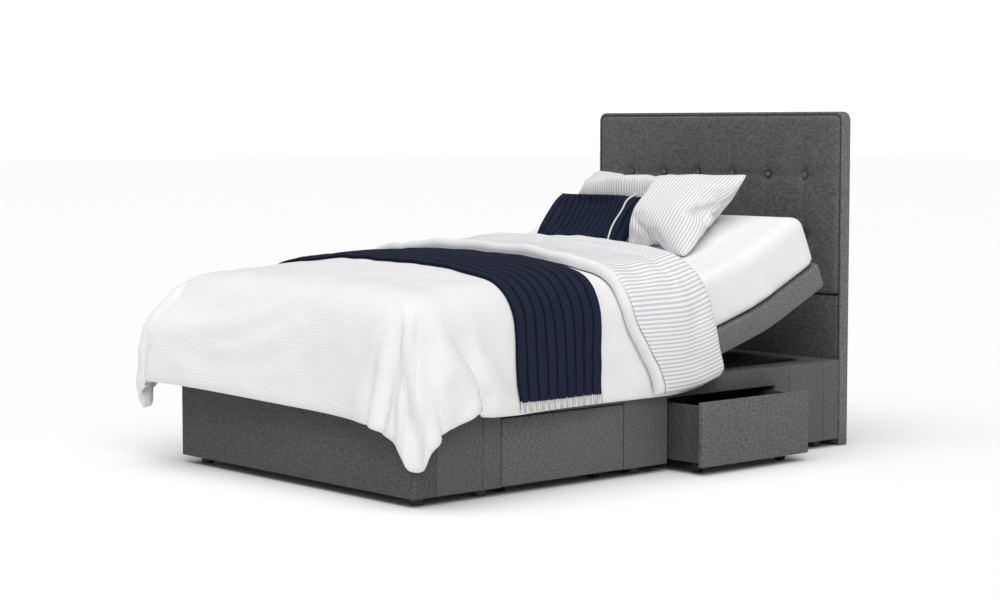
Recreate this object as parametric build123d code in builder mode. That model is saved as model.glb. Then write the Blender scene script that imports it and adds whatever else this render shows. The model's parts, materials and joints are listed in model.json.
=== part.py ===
"""Adjustable divan bed: an upholstered base with two drawers, a folding deck, a headboard and its bedding.

Millimetres. +Z is up, +Y runs towards the headboard and +X is the drawer side.
The origin is on the floor, under the centre support leg, at the middle of the base.
The deck is drawn with its head end raised: the lumbar and back sections stand at their tilts.
"""

import os
from math import cos, radians, sin, tan

from build123d import *

os.makedirs("parts", exist_ok=True)

# ---- driving dimensions ----
base_length = 1900
base_width = 1200
base_bottom = 27
rim_top = 299
wall = 88
joint_gap = 0.5
corner_round = 14

drawer_opening = 515.5
middle_post_width = 194
end_post_width = 69.5
rail_bottom = 237

deck_bottom = 300
deck_top = 380
board = 18
band_width = 40
hinge_z = 350
knee_z = 312
lumbar_hinge_y = 150
thigh_hinge_y = -60
lumbar_length = 432
thigh_length = 290
calf_end_y = -945
back_end = 326
lumbar_tilt = 16.5
back_tilt = 25

lumbar_fold = 40
back_fold = 20.6
thigh_fold = 25

shaft_r = 6
running_gap = 0.05
ear_r = 11
ear_thickness = 6

mattress_bottom = 381
mattress_top = 571
mattress_half_width = 592

duvet_thickness = 44
duvet_half_width = 690
drape_inside = 606
drape_bottom = 262
duvet_head_edge = 150
runner_thickness = 6
runner_foot_y = -590
runner_head_y = -233

headboard_width = 1188
headboard_front = 952
headboard_back = 998
headboard_top = 1150
headboard_seam = 520
button_rows = (720, 930)
buttons_per_row = 6

rod_z = 205
lever_drop = hinge_z - rod_z
head_drive_x = -150
leg_drive_x = -330
head_lever_lean = -3.5
leg_lever_lean = 12.5
pin_r = 5

drawer_width = 509.5
drawer_front_thickness = 20
drawer_depth = 480
drawer_centre_y = (middle_post_width + drawer_opening) / 2
drawer_wall = 12
wheel_r = 15
head_drawer_opening = 150

# ---- worked-out places ----
half_width = base_width / 2
half_length = base_length / 2
inner_x = half_width - wall
inner_y = half_length - wall
opening_far_y = middle_post_width / 2 + drawer_opening
post_far_y = opening_far_y + end_post_width
back_hinge_y = lumbar_hinge_y + lumbar_length * cos(radians(lumbar_tilt))
back_hinge_z = hinge_z + lumbar_length * sin(radians(lumbar_tilt))
knee_y = thigh_hinge_y - thigh_length
board_bottom = deck_top - board
board_rise = board_bottom - hinge_z
mattress_low = mattress_bottom - hinge_z
mattress_high = mattress_top - hinge_z
duvet_low = mattress_high + joint_gap
duvet_high = mattress_high + duvet_thickness
hem_drop = drape_bottom - hinge_z


def save(piece, label):
    """Name a finished piece and write it."""
    piece.part.label = label
    export_step(piece.part, f"parts/{label}.step")


def span(x, y, z, mode=Mode.ADD):
    """A rectangular block between pairs of limits."""
    with Locations(((x[0] + x[1]) / 2, (y[0] + y[1]) / 2, (z[0] + z[1]) / 2)):
        Box(x[1] - x[0], y[1] - y[0], z[1] - z[0], mode=mode)


def side_plane(x, y, z, tilt=0):
    """The plane across the bed's length: its first axis runs headwards and its second one up."""
    return Plane(
        origin=(x, y, z),
        x_dir=(0, cos(radians(tilt)), sin(radians(tilt))),
        z_dir=(1, 0, 0),
    )


def side_profile(plane, points):
    """A closed outline on a side plane."""
    with BuildSketch(plane) as outline:
        with BuildLine():
            Polyline(*points, close=True)
        make_face()
    return outline.sketch


def side_rectangle(plane, along, above):
    """A rectangle on a side plane between pairs of limits."""
    corners = [(along[0], above[0]), (along[1], above[0]), (along[1], above[1]), (along[0], above[1])]
    return side_profile(plane, corners)


def outer_corners(section, row):
    """The upright edges at one end of a piece, on its two outer corners."""
    height = deck_top - deck_bottom
    upright = section.edges().filter_by(lambda edge: abs(edge.length - height) < 0.1)
    outer = upright.filter_by(lambda edge: abs(edge.center().X) > half_width - 1)
    return outer.group_by(Axis.Y)[row]


def bar_along_x(x, y, z, radius, length, mode=Mode.ADD):
    """A round bar lying across the bed."""
    with Locations((x, y, z)):
        Cylinder(radius, length, rotation=(0, 90, 0), mode=mode)


def bar_along_y(x, y, z, radius, length, mode=Mode.ADD):
    """A round bar lying along the bed."""
    with Locations((x, y, z)):
        Cylinder(radius, length, rotation=(90, 0, 0), mode=mode)


# ---- base box ----
bolt_places = [(side * 410, height) for side in (-1, 1) for height in (110, 240)]
bolt_r = 5
bolt_hole_r = 5.3
strut_back = headboard_back + 20

with BuildPart() as foot_panel:
    span((-half_width, half_width), (-half_length, -inner_y), (base_bottom, rim_top))
    fillet(foot_panel.edges().filter_by(Axis.Z).group_by(Axis.Y)[0], corner_round)
save(foot_panel, "foot_panel")

with BuildPart() as head_rail:
    span((-half_width, half_width), (inner_y, half_length), (base_bottom, rim_top))
    fillet(head_rail.edges().filter_by(Axis.Z).group_by(Axis.Y)[-1], corner_round)
    for bolt_x, bolt_z in bolt_places:
        bar_along_y(bolt_x, half_length - 20, bolt_z, bolt_hole_r, 60, Mode.SUBTRACT)
save(head_rail, "head_rail")

wall_y = inner_y - joint_gap
with BuildPart() as side_wall_left:
    span((-half_width, -inner_x), (-wall_y, wall_y), (base_bottom, rim_top))
save(side_wall_left, "side_wall_left")

for end_name, end_sign in (("foot", -1), ("head", 1)):
    ends = sorted((end_sign * (post_far_y + joint_gap), end_sign * wall_y))
    with BuildPart() as side_wall_end:
        span((inner_x, half_width), ends, (base_bottom, rim_top))
    save(side_wall_end, f"side_wall_{end_name}_end")

with BuildPart() as drawer_posts:
    post_height = (base_bottom, rail_bottom - joint_gap)
    span((inner_x, half_width), (-middle_post_width / 2, middle_post_width / 2), post_height)
    for end_sign in (-1, 1):
        ends = sorted((end_sign * opening_far_y, end_sign * post_far_y))
        span((inner_x, half_width), ends, post_height)
save(drawer_posts, "drawer_posts")

with BuildPart() as drawer_top_rail:
    span((inner_x, half_width), (-post_far_y, post_far_y), (rail_bottom, rim_top))
save(drawer_top_rail, "drawer_top_rail")

partition_x = (60, 78)
with BuildPart() as centre_wall:
    span(partition_x, (-wall_y, wall_y), (base_bottom, rail_bottom - joint_gap))
save(centre_wall, "centre_wall")

glide_r = 20
glide_inset = 62
glide_x = half_width - glide_inset
glide_y = half_length - glide_inset
end_post_y = opening_far_y + end_post_width / 2
glide_places = [(sx * glide_x, sy * glide_y) for sx in (-1, 1) for sy in (-1, 1)]
glide_places += [(-glide_x, sy * 300) for sy in (-1, 1)]
glide_places += [(glide_x, sy * end_post_y) for sy in (-1, 0, 1)]
with BuildPart() as floor_glides:
    for place_x, place_y in glide_places:
        with Locations((place_x, place_y, base_bottom / 2)):
            Cylinder(glide_r, base_bottom)
save(floor_glides, "floor_glides")

# ---- steel chassis ----
rail_x = 455
rail_width = 30
tube = 25
rail_height = rim_top - rail_bottom - tube
tube_wall = 2
cross_tube_places = (-300, 0, 330)
leg_r = 20
leg_foot_r = 36
leg_foot_height = 10

with BuildPart() as chassis_rails:
    for side in (-1, 1):
        with BuildSketch(Plane.XZ.offset(-wall_y)):
            with Locations((side * rail_x, rim_top - rail_height / 2)):
                Rectangle(rail_width, rail_height)
                Rectangle(rail_width - 2 * tube_wall, rail_height - 2 * tube_wall, mode=Mode.SUBTRACT)
        extrude(amount=2 * wall_y)
        for stand_y in (5, 85):
            stand_x = (side * rail_x - rail_width / 2, side * rail_x + rail_width / 2)
            span(stand_x, (stand_y - 15, stand_y + 15), (rim_top - 1, board_bottom - joint_gap))
save(chassis_rails, "chassis_rails")

with BuildPart() as chassis_cross_tubes:
    for tube_y in cross_tube_places:
        with BuildSketch(side_plane(-inner_x + joint_gap, tube_y, rail_bottom + tube / 2)):
            Rectangle(tube, tube - joint_gap)
            Rectangle(tube - 2 * tube_wall, tube - 2 * tube_wall, mode=Mode.SUBTRACT)
        extrude(amount=2 * (inner_x - joint_gap))
save(chassis_cross_tubes, "chassis_cross_tubes")

with BuildPart() as centre_leg:
    with BuildSketch():
        Circle(leg_foot_r)
    extrude(amount=leg_foot_height)
    with BuildSketch():
        Circle(leg_r)
    extrude(amount=rail_bottom)
save(centre_leg, "centre_leg")

# ---- headboard ----
border = 9
cushion_depth = 28
board_half = headboard_width / 2 - border
top_corner_r = 38
border_front = headboard_front + 3
core_front = headboard_front + cushion_depth + joint_gap


def headboard_outline(inset, bottom, y_front, y_back, mode=Mode.ADD):
    """A panel with two rounded top corners, standing across the bed."""
    top = headboard_top - inset
    half = headboard_width / 2 - inset
    with BuildSketch(Plane.XZ.offset(-y_front)) as outline:
        with Locations((0, (top + bottom) / 2)):
            Rectangle(2 * half, top - bottom)
        fillet(outline.vertices().group_by(Axis.Z)[-1], top_corner_r - inset)
    extrude(outline.sketch, amount=y_front - y_back, mode=mode)


with BuildPart() as headboard_cushion:
    headboard_outline(border + joint_gap, headboard_seam, headboard_front, headboard_front + cushion_depth)
save(headboard_cushion, "headboard_cushion")

with BuildPart() as headboard_board:
    headboard_outline(border + joint_gap, 0, core_front, headboard_back)
    for bolt_x, bolt_z in bolt_places:
        bar_along_y(bolt_x, headboard_back, bolt_z, bolt_hole_r, 60, Mode.SUBTRACT)
save(headboard_board, "headboard_board")

with BuildPart() as headboard_border:
    headboard_outline(0, 0, border_front, headboard_back)
    headboard_outline(border, -10, border_front - 1, headboard_back + 1, Mode.SUBTRACT)
save(headboard_border, "headboard_border")

with BuildPart() as headboard_lower_panel:
    lower_y = (border_front, core_front - joint_gap)
    span((-board_half + 1, board_half - 1), lower_y, (0, headboard_seam - joint_gap))
    for bolt_x, bolt_z in bolt_places:
        bar_along_y(bolt_x, border_front, bolt_z, bolt_hole_r, 60, Mode.SUBTRACT)
save(headboard_lower_panel, "headboard_lower_panel")

button_r = 11
button_height = 5
button_pitch = headboard_width / (buttons_per_row + 1)
with BuildPart() as headboard_buttons:
    for row_z in button_rows:
        for column in range(buttons_per_row):
            button_x = (column - (buttons_per_row - 1) / 2) * button_pitch
            bar_along_y(button_x, headboard_front - button_height / 2, row_z, button_r, button_height)
save(headboard_buttons, "headboard_buttons")

with BuildPart() as headboard_struts:
    for side in (-1, 1):
        span((side * 410 - 30, side * 410 + 30), (headboard_back, strut_back), (30, 900))
    for bolt_x, bolt_z in bolt_places:
        bar_along_y(bolt_x, headboard_back, bolt_z, bolt_hole_r, 60, Mode.SUBTRACT)
save(headboard_struts, "headboard_struts")

bolt_head_r = 10
bolt_head = 6
bolt_tip_y = half_length - 40
with BuildPart() as headboard_bolts:
    for bolt_x, bolt_z in bolt_places:
        bar_along_y(bolt_x, (bolt_tip_y + strut_back) / 2, bolt_z, bolt_r, strut_back - bolt_tip_y)
        bar_along_y(bolt_x, strut_back + bolt_head / 2, bolt_z, bolt_head_r, bolt_head)
save(headboard_bolts, "headboard_bolts")

# ---- deck sections: a board with upholstered strips along its outer edges ----
seat_gap = 12
thigh_gap = 9
back_gap = 8
knee_gap = 8
strip_low = deck_bottom - hinge_z
strip_high = deck_top - hinge_z
deck_corner_r = 28


def deck_section(plane, start, stop, end_strip=0):
    """Board and side strips from start to stop; end_strip is -1 for a foot strip, 1 for a head strip."""
    inner = half_width - band_width
    board_start = start + (band_width + joint_gap if end_strip < 0 else 0)
    board_stop = stop - (band_width + joint_gap if end_strip > 0 else 0)
    extrude(
        side_rectangle(plane, (board_start, board_stop), (board_rise, strip_high)),
        amount=inner - joint_gap,
        both=True,
    )
    strip_face = side_rectangle(plane, (board_start, board_stop), (strip_low, strip_high))
    for side in (-1, 1):
        extrude(Pos(side * (inner + band_width / 2), 0, 0) * strip_face, amount=band_width / 2, both=True)
    if end_strip:
        outer = start if end_strip < 0 else stop
        near = outer - end_strip * band_width
        extrude(side_rectangle(plane, (near, outer), (strip_low, strip_high)), amount=half_width, both=True)


seat_plane = side_plane(0, 0, hinge_z)
lumbar_plane = side_plane(0, lumbar_hinge_y, hinge_z, lumbar_tilt)
back_plane = side_plane(0, back_hinge_y, back_hinge_z, back_tilt)

with BuildPart() as seat_deck:
    deck_section(seat_plane, thigh_hinge_y + thigh_gap, lumbar_hinge_y - seat_gap)
save(seat_deck, "seat_deck")

with BuildPart() as lumbar_deck:
    deck_section(lumbar_plane, seat_gap, lumbar_length - back_gap)
save(lumbar_deck, "lumbar_deck")

with BuildPart() as back_deck:
    deck_section(back_plane, back_gap, back_end, end_strip=1)
    fillet(outer_corners(back_deck, -1), deck_corner_r)
save(back_deck, "back_deck")

with BuildPart() as thigh_deck:
    deck_section(seat_plane, knee_y + knee_gap, thigh_hinge_y - thigh_gap)
save(thigh_deck, "thigh_deck")

with BuildPart() as calf_deck:
    deck_section(seat_plane, calf_end_y, knee_y - knee_gap, end_strip=-1)
    fillet(outer_corners(calf_deck, 0), deck_corner_r)
save(calf_deck, "calf_deck")

# ---- hinges ----
shaft_half = 430
inner_ear_x = 404
outer_ear_x = 414
ear_length = 60
blade_width = 34
blade_length = 176
slot_middle = 149.8
slot_length = 27
slot_width = 13


def ear(x, y, z, tilt, reach, rise):
    """A hinge ear: it hangs from a board, reaches along it from the hinge, and turns on the shaft."""
    plane = side_plane(x, y, z, tilt)
    with BuildSketch(plane) as outline:
        Circle(ear_r)
        with BuildLine():
            Polyline((0, -ear_r), (reach, -ear_r), (reach, rise), (0, rise), close=True)
        make_face()
        Circle(shaft_r + running_gap, mode=Mode.SUBTRACT)
    extrude(outline.sketch, amount=ear_thickness / 2, both=True)


def ear_pair(ear_x, y, z, tilt, reach, rise):
    """The same ear on both sides of the bed."""
    for side in (-1, 1):
        ear(side * ear_x, y, z, tilt, reach, rise - joint_gap)


knee_rise = board_bottom - knee_z

with BuildPart() as seat_hinge_shafts:
    bar_along_x(0, lumbar_hinge_y, hinge_z, shaft_r, 2 * shaft_half)
    bar_along_x(0, thigh_hinge_y, hinge_z, shaft_r, 2 * shaft_half)
save(seat_hinge_shafts, "seat_hinge_shafts")

with BuildPart() as back_hinge_shaft:
    bar_along_x(0, back_hinge_y, back_hinge_z, shaft_r, 2 * shaft_half)
save(back_hinge_shaft, "back_hinge_shaft")

with BuildPart() as knee_hinge_shaft:
    bar_along_x(0, knee_y, knee_z, shaft_r, 2 * shaft_half)
save(knee_hinge_shaft, "knee_hinge_shaft")


def slotted_lever(x, y, lean, reach, tilt):
    """A drive lever: an arm under the board, and a slotted blade that hangs from the hinge shaft."""
    with BuildSketch(side_plane(x, y, hinge_z, lean)) as blade:
        Circle(ear_r)
        with Locations((0, -blade_length / 2)):
            Rectangle(blade_width, blade_length)
        Circle(shaft_r + running_gap, mode=Mode.SUBTRACT)
        with Locations((0, -slot_middle)):
            SlotOverall(slot_length, slot_width, rotation=90, mode=Mode.SUBTRACT)
    extrude(blade.sketch, amount=4, both=True)
    ear(x, y, hinge_z, tilt, reach, board_rise - joint_gap)


with BuildPart() as seat_knuckles:
    ear_pair(inner_ear_x, lumbar_hinge_y, hinge_z, 0, -ear_length, board_rise)
    ear_pair(inner_ear_x, thigh_hinge_y, hinge_z, 0, ear_length, board_rise)
save(seat_knuckles, "seat_knuckles")

with BuildPart() as lumbar_knuckles:
    ear_pair(outer_ear_x, lumbar_hinge_y, hinge_z, lumbar_tilt, ear_length, board_rise)
    ear_pair(inner_ear_x, back_hinge_y, back_hinge_z, lumbar_tilt, -ear_length, board_rise)
    slotted_lever(head_drive_x, lumbar_hinge_y, head_lever_lean, ear_length, lumbar_tilt)
save(lumbar_knuckles, "lumbar_knuckles")

with BuildPart() as back_knuckles:
    ear_pair(outer_ear_x, back_hinge_y, back_hinge_z, back_tilt, ear_length, board_rise)
save(back_knuckles, "back_knuckles")

with BuildPart() as thigh_knuckles:
    ear_pair(outer_ear_x, thigh_hinge_y, hinge_z, 0, -ear_length, board_rise)
    ear_pair(inner_ear_x, knee_y, knee_z, 0, ear_length, knee_rise)
    slotted_lever(leg_drive_x, thigh_hinge_y, leg_lever_lean, -ear_length, 0)
save(thigh_knuckles, "thigh_knuckles")

with BuildPart() as calf_knuckles:
    ear_pair(outer_ear_x, knee_y, knee_z, 0, -ear_length, knee_rise)
save(calf_knuckles, "calf_knuckles")

# ---- drives ----
rod_r = 11
rod_clearance = 0.3
cheek = 6
cheek_gap = 6
fork_back = 44
housing_half = 28
housing_length = 380
bore_depth = 200
motor_r = 32
motor_z = 150
motor_length = 150


def drive(label, x, pin_y, direction, housing_front, rod_end):
    """A linear drive: a housing under the cross tubes, and a push rod that ends in a fork with a pin."""
    housing_back = housing_front - direction * housing_length
    with BuildPart() as housing:
        across = (x - housing_half, x + housing_half)
        span(across, sorted((housing_front, housing_back)), (rod_z - housing_half, rail_bottom - joint_gap))
        bar_along_y(x, housing_back + direction * motor_length / 2, motor_z, motor_r, motor_length)
        bar_along_y(x, housing_front, rod_z, rod_r + rod_clearance, 2 * bore_depth, Mode.SUBTRACT)
    save(housing, f"{label}_motor")

    fork_root = pin_y - direction * fork_back
    with BuildPart() as rod:
        bar_along_y(x, (fork_root + rod_end) / 2, rod_z, rod_r, abs(fork_root - rod_end))
        fork_half = cheek_gap + cheek
        outside = sorted((fork_root, pin_y + direction * 12))
        span((x - fork_half, x + fork_half), outside, (rod_z - 12, rod_z + 12))
        inside = sorted((fork_root + direction * 12, pin_y + direction * 13))
        span((x - cheek_gap, x + cheek_gap), inside, (rod_z - 13, rod_z + 13), Mode.SUBTRACT)
        bar_along_x(x, pin_y, rod_z, pin_r, 2 * fork_half)
    save(rod, f"{label}_motor_rod")


head_pin_y = lumbar_hinge_y + lever_drop * tan(radians(head_lever_lean)) - 0.2
leg_pin_y = thigh_hinge_y + lever_drop * tan(radians(leg_lever_lean))
drive("head", head_drive_x, head_pin_y, 1, 50, -60)
drive("leg", leg_drive_x, leg_pin_y, -1, 36, 150)

with BuildPart() as control_box:
    span((-260, -120), (280, 380), (190, rail_bottom - joint_gap))
    fillet(control_box.edges().filter_by(Axis.Z), 8)
save(control_box, "control_box")


# ---- mattress: one pad in five lengths, each end cut back so that the lengths meet at full fold ----
def lean_in(height, fold):
    """How far a mattress end leans away from its hinge at a height above it."""
    return max(height, 0) * tan(radians(fold / 2)) + 1


def pad_profile(low, high, start, stop, start_fold, stop_fold):
    """The side outline of a pad between two hinges, at 0 for start and at stop for the far one."""
    heights = sorted({low, 0, high}) if low < 0 else [low, high]
    near = [(start + lean_in(h, start_fold), h) for h in heights]
    far = [(stop - lean_in(h, stop_fold), h) for h in reversed(heights)]
    return near + far


def pad(plane, low, high, start, stop, start_fold, stop_fold, half):
    """A closed pad between two hinges."""
    outline = side_profile(plane, pad_profile(low, high, start, stop, start_fold, stop_fold))
    extrude(outline, amount=half, both=True)


def mattress_pad(plane, start, stop, start_fold, stop_fold):
    """One length of the mattress."""
    pad(plane, mattress_low, mattress_high, start, stop, start_fold, stop_fold, mattress_half_width)


with BuildPart() as mattress_seat:
    mattress_pad(seat_plane, thigh_hinge_y, lumbar_hinge_y, thigh_fold, lumbar_fold)
save(mattress_seat, "mattress_seat")

with BuildPart() as mattress_lumbar:
    mattress_pad(lumbar_plane, 0, lumbar_length, lumbar_fold, back_fold)
save(mattress_lumbar, "mattress_lumbar")

with BuildPart() as mattress_back:
    mattress_pad(back_plane, 0, back_end - 1, back_fold, 0)
save(mattress_back, "mattress_back")

with BuildPart() as mattress_thigh:
    mattress_pad(seat_plane, knee_y, thigh_hinge_y, 0, thigh_fold)
save(mattress_thigh, "mattress_thigh")

with BuildPart() as mattress_calf:
    mattress_pad(seat_plane, calf_end_y, knee_y, 0, 0)
save(mattress_calf, "mattress_calf")


# ---- duvet: a quilt over the mattress that hangs down both sides and the foot end ----
def quilt(plane, start, stop, start_fold, stop_fold, foot_end=None):
    """One length of the duvet; foot_end is where its foot drape begins on the inside."""
    pad(plane, hem_drop, duvet_high, start, stop, start_fold, stop_fold, duvet_half_width)
    hollow_start = start - 100 if foot_end is None else foot_end
    hollow = side_rectangle(plane, (hollow_start, stop + 100), (hem_drop - 5, duvet_low))
    extrude(hollow, amount=drape_inside, both=True, mode=Mode.SUBTRACT)


foot_drape_outside = -1040
foot_drape_inside = -962
with BuildPart() as duvet_calf:
    quilt(seat_plane, foot_drape_outside, knee_y, 0, 0, foot_end=foot_drape_inside)
    upright = duvet_calf.edges().filter_by(Axis.Z)
    fillet(upright.filter_by(lambda e: abs(e.center().X) > duvet_half_width - 1).group_by(Axis.Y)[0], 40)
save(duvet_calf, "duvet_calf")

with BuildPart() as duvet_thigh:
    quilt(seat_plane, knee_y, thigh_hinge_y, 0, thigh_fold)
save(duvet_thigh, "duvet_thigh")

with BuildPart() as duvet_seat:
    quilt(seat_plane, thigh_hinge_y, lumbar_hinge_y, thigh_fold, lumbar_fold)
save(duvet_seat, "duvet_seat")

with BuildPart() as duvet_lumbar:
    quilt(lumbar_plane, 0, duvet_head_edge, lumbar_fold, 0)
save(duvet_lumbar, "duvet_lumbar")


def runner_length(start, stop):
    """One length of the runner, lying over the duvet and down its sides."""
    half = duvet_half_width + runner_thickness
    pad(seat_plane, hem_drop + 6, duvet_high + runner_thickness, start, stop, 0, 0, half)
    hollow = side_rectangle(seat_plane, (start - 50, stop + 50), (hem_drop, duvet_high + joint_gap))
    extrude(hollow, amount=duvet_half_width + joint_gap, both=True, mode=Mode.SUBTRACT)


with BuildPart() as runner_lower:
    runner_length(runner_foot_y, knee_y)
save(runner_lower, "runner_lower")

with BuildPart() as runner_upper:
    runner_length(knee_y, runner_head_y)
save(runner_upper, "runner_upper")

# ---- pillow and lumbar cushion: they lie on the back section ----
pillow_half_width = 370
pillow_start = -45
pillow_stop = 338
pillow_low = mattress_high + 2
pillow_high = mattress_high + 176
pillow_round = 80
cushion_centre_x = -165
cushion_half_width = 215
cushion_slope = 29
cushion_foot = (-30, 262)
cushion_length = 235
cushion_thickness = 72
cushion_round = 30
squeeze_gap = 2
fold_clear = (back_fold + 1) / 2


def cushion_face(grow):
    """The cushion's side outline, grown by a clearance."""
    foot_plane = side_plane(0, *section_point(cushion_foot), back_tilt + cushion_slope)
    with BuildSketch(foot_plane) as face:
        with Locations((cushion_length / 2, cushion_thickness / 2)):
            RectangleRounded(cushion_length + 2 * grow, cushion_thickness + 2 * grow, cushion_round + grow)
    return Pos(cushion_centre_x, 0, 0) * face.sketch


def section_point(point):
    """World Y and Z of a point given along and above the back section."""
    along, above = point
    tilt = radians(back_tilt)
    y = back_hinge_y + along * cos(tilt) - above * sin(tilt)
    z = back_hinge_z + along * sin(tilt) + above * cos(tilt)
    return (y, z)


def fold_relief():
    """The wedge that the lumbar length sweeps into when the back folds all the way."""
    corner = mattress_high * tan(radians(fold_clear))
    slope = tan(radians(2 * fold_clear))
    far = 260
    low = mattress_high + 2
    wedge = [(corner, low), (corner - far, low + far * slope), (corner - far, 0), (corner, 0)]
    outline = side_profile(back_plane, wedge)
    extrude(outline, amount=half_width, both=True, mode=Mode.SUBTRACT)


with BuildPart() as cushion:
    extrude(cushion_face(0), amount=cushion_half_width, both=True)
    fold_relief()
save(cushion, "cushion")

with BuildPart() as pillow:
    with BuildSketch(back_plane):
        with Locations(((pillow_start + pillow_stop) / 2, (pillow_low + pillow_high) / 2)):
            RectangleRounded(pillow_stop - pillow_start, pillow_high - pillow_low, pillow_round)
    extrude(amount=pillow_half_width, both=True)
    hollow_half = cushion_half_width + squeeze_gap
    extrude(cushion_face(squeeze_gap), amount=hollow_half, both=True, mode=Mode.SUBTRACT)
    fold_relief()
save(pillow, "pillow")

# ---- drawers: each rolls on four twin-wheel castors ----
box_bottom = 40
box_top = 222
box_floor = 6
box_half = 248
front_bottom = 28
front_top = 234
castor_setback = 75
rear_castor_setback = 440
castor_offset = 197
axle_r = 3
wheel_inner = 3.5
wheel_outer = 12
stem_half = 3
axle_height = wheel_r


def castor_lines(front_x):
    """The X places of a drawer's two axle lines, front one first."""
    return (front_x - castor_setback, front_x - rear_castor_setback)


def drawer(label, centre_y, front_x):
    """One drawer whose front's outer face stands at front_x."""
    box_front = front_x - drawer_front_thickness
    box_back = box_front - drawer_depth
    with BuildPart() as front:
        across = (centre_y - drawer_width / 2, centre_y + drawer_width / 2)
        span((box_front, front_x), across, (front_bottom, front_top))
    save(front, f"{label}_drawer_front")

    with BuildPart() as box:
        span((box_back, box_front), (centre_y - box_half, centre_y + box_half), (box_bottom, box_top))
        span(
            (box_back + drawer_wall, box_front - drawer_wall),
            (centre_y - box_half + drawer_wall, centre_y + box_half - drawer_wall),
            (box_bottom + box_floor, box_top + 10),
            Mode.SUBTRACT,
        )
    save(box, f"{label}_drawer_box")

    with BuildPart() as forks:
        for axle_x in castor_lines(front_x):
            for side in (-1, 1):
                fork_y = centre_y + side * castor_offset
                span((axle_x - 20, axle_x + 20), (fork_y - 15, fork_y + 15), (box_bottom - 6, box_bottom))
                stem_y = (fork_y - stem_half, fork_y + stem_half)
                span((axle_x - 8, axle_x + 8), stem_y, (axle_height - 6, box_bottom - 6))
                bar_along_y(axle_x, fork_y, axle_height, axle_r, 2 * wheel_outer)
    save(forks, f"{label}_drawer_castors")

    for end_name, axle_x in zip(("front", "rear"), castor_lines(front_x)):
        with BuildPart() as wheels:
            for side in (-1, 1):
                for half in (-1, 1):
                    wheel_y = centre_y + side * castor_offset + half * (wheel_inner + wheel_outer) / 2
                    bar_along_y(axle_x, wheel_y, axle_height, wheel_r, wheel_outer - wheel_inner)
                pair_y = centre_y + side * castor_offset
                bar_along_y(axle_x, pair_y, axle_height, axle_r + running_gap, 30, Mode.SUBTRACT)
        save(wheels, f"{label}_drawer_{end_name}_wheels")


drawer("foot", -drawer_centre_y, half_width)
drawer("head", drawer_centre_y, half_width + head_drawer_opening)
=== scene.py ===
"""An adjustable bed base with drawers, its mattress and its bedding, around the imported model."""

import json
import math

import bmesh
import bpy
import numpy as np
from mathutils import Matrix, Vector, noise


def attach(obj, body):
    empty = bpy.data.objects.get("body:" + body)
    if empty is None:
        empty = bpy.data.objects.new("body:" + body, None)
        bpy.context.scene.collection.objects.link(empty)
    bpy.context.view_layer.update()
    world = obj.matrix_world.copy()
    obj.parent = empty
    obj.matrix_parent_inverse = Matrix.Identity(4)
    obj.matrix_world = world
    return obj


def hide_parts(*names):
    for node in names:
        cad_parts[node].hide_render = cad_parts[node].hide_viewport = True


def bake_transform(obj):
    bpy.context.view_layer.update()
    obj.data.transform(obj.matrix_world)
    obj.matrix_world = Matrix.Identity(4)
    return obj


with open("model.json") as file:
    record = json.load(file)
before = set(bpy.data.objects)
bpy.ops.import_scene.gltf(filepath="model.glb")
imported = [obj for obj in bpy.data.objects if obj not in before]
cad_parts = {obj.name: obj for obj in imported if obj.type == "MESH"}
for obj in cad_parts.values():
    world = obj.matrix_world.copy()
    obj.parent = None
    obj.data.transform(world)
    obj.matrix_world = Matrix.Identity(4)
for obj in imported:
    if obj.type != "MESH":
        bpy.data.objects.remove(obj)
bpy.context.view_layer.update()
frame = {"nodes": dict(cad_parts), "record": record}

# Sizes in metres. Soft pieces are made with the deck flat, then laid on the raised deck.
# A hinge is its place along the flat deck and how far it is open; a pivot is its raised y and z.
HINGE_HEIGHT = 0.350
LUMBAR_HINGE = (0.150, math.radians(16.5))
BACK_HINGE = (0.582, math.radians(8.5))
KNEE_PIVOT = (-0.350, 0.312)
THIGH_PIVOT = (-0.070, 0.350)
LUMBAR_PIVOT = (0.150, 0.350)
BACK_PIVOT = (0.5642, 0.4727)
BEND_REACH = 0.10
KNEE_CUT = -0.240
FLAP_CUT = 0.050
SEAT_CUT = 0.275
HEAD_END = 0.907

BASE_HALF = 0.600
BASE_IN = 0.512
BASE_LOW = 0.027
BASE_HIGH = 0.299
POST_END = 0.682
OPENING = (0.097, 0.6125)
RAIL_UNDER = 0.237
BAND_WIDTH = 0.040
BAND_LOW = 0.300
BAND_HIGH = 0.380
BOARD_LOW = 0.362
BOARD_HIGH = 0.3795
MATTRESS_HALF = 0.592
MATTRESS_LOW = 0.381
MATTRESS_HIGH = 0.571

HEADBOARD_HALF = 0.594
HEADBOARD_TOP = 1.150
HEADBOARD_SEAM = 0.520
HEADBOARD_FRONT = 0.952
BUTTON_PITCH = 0.1697
BUTTON_ROWS = (0.720, 0.930)

RUNNER_START = -0.590
RUNNER_STOP = -0.233
RUNNER_WIDTH = RUNNER_STOP - RUNNER_START
RUNNER_RIBS = 9
PIPING_AT = 0.176
CUSHION_SEWN = -0.215
CUSHION_PLEAT = (PIPING_AT - CUSHION_SEWN) / 14


# ---------------------------------------------------------------- finishes


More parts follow.
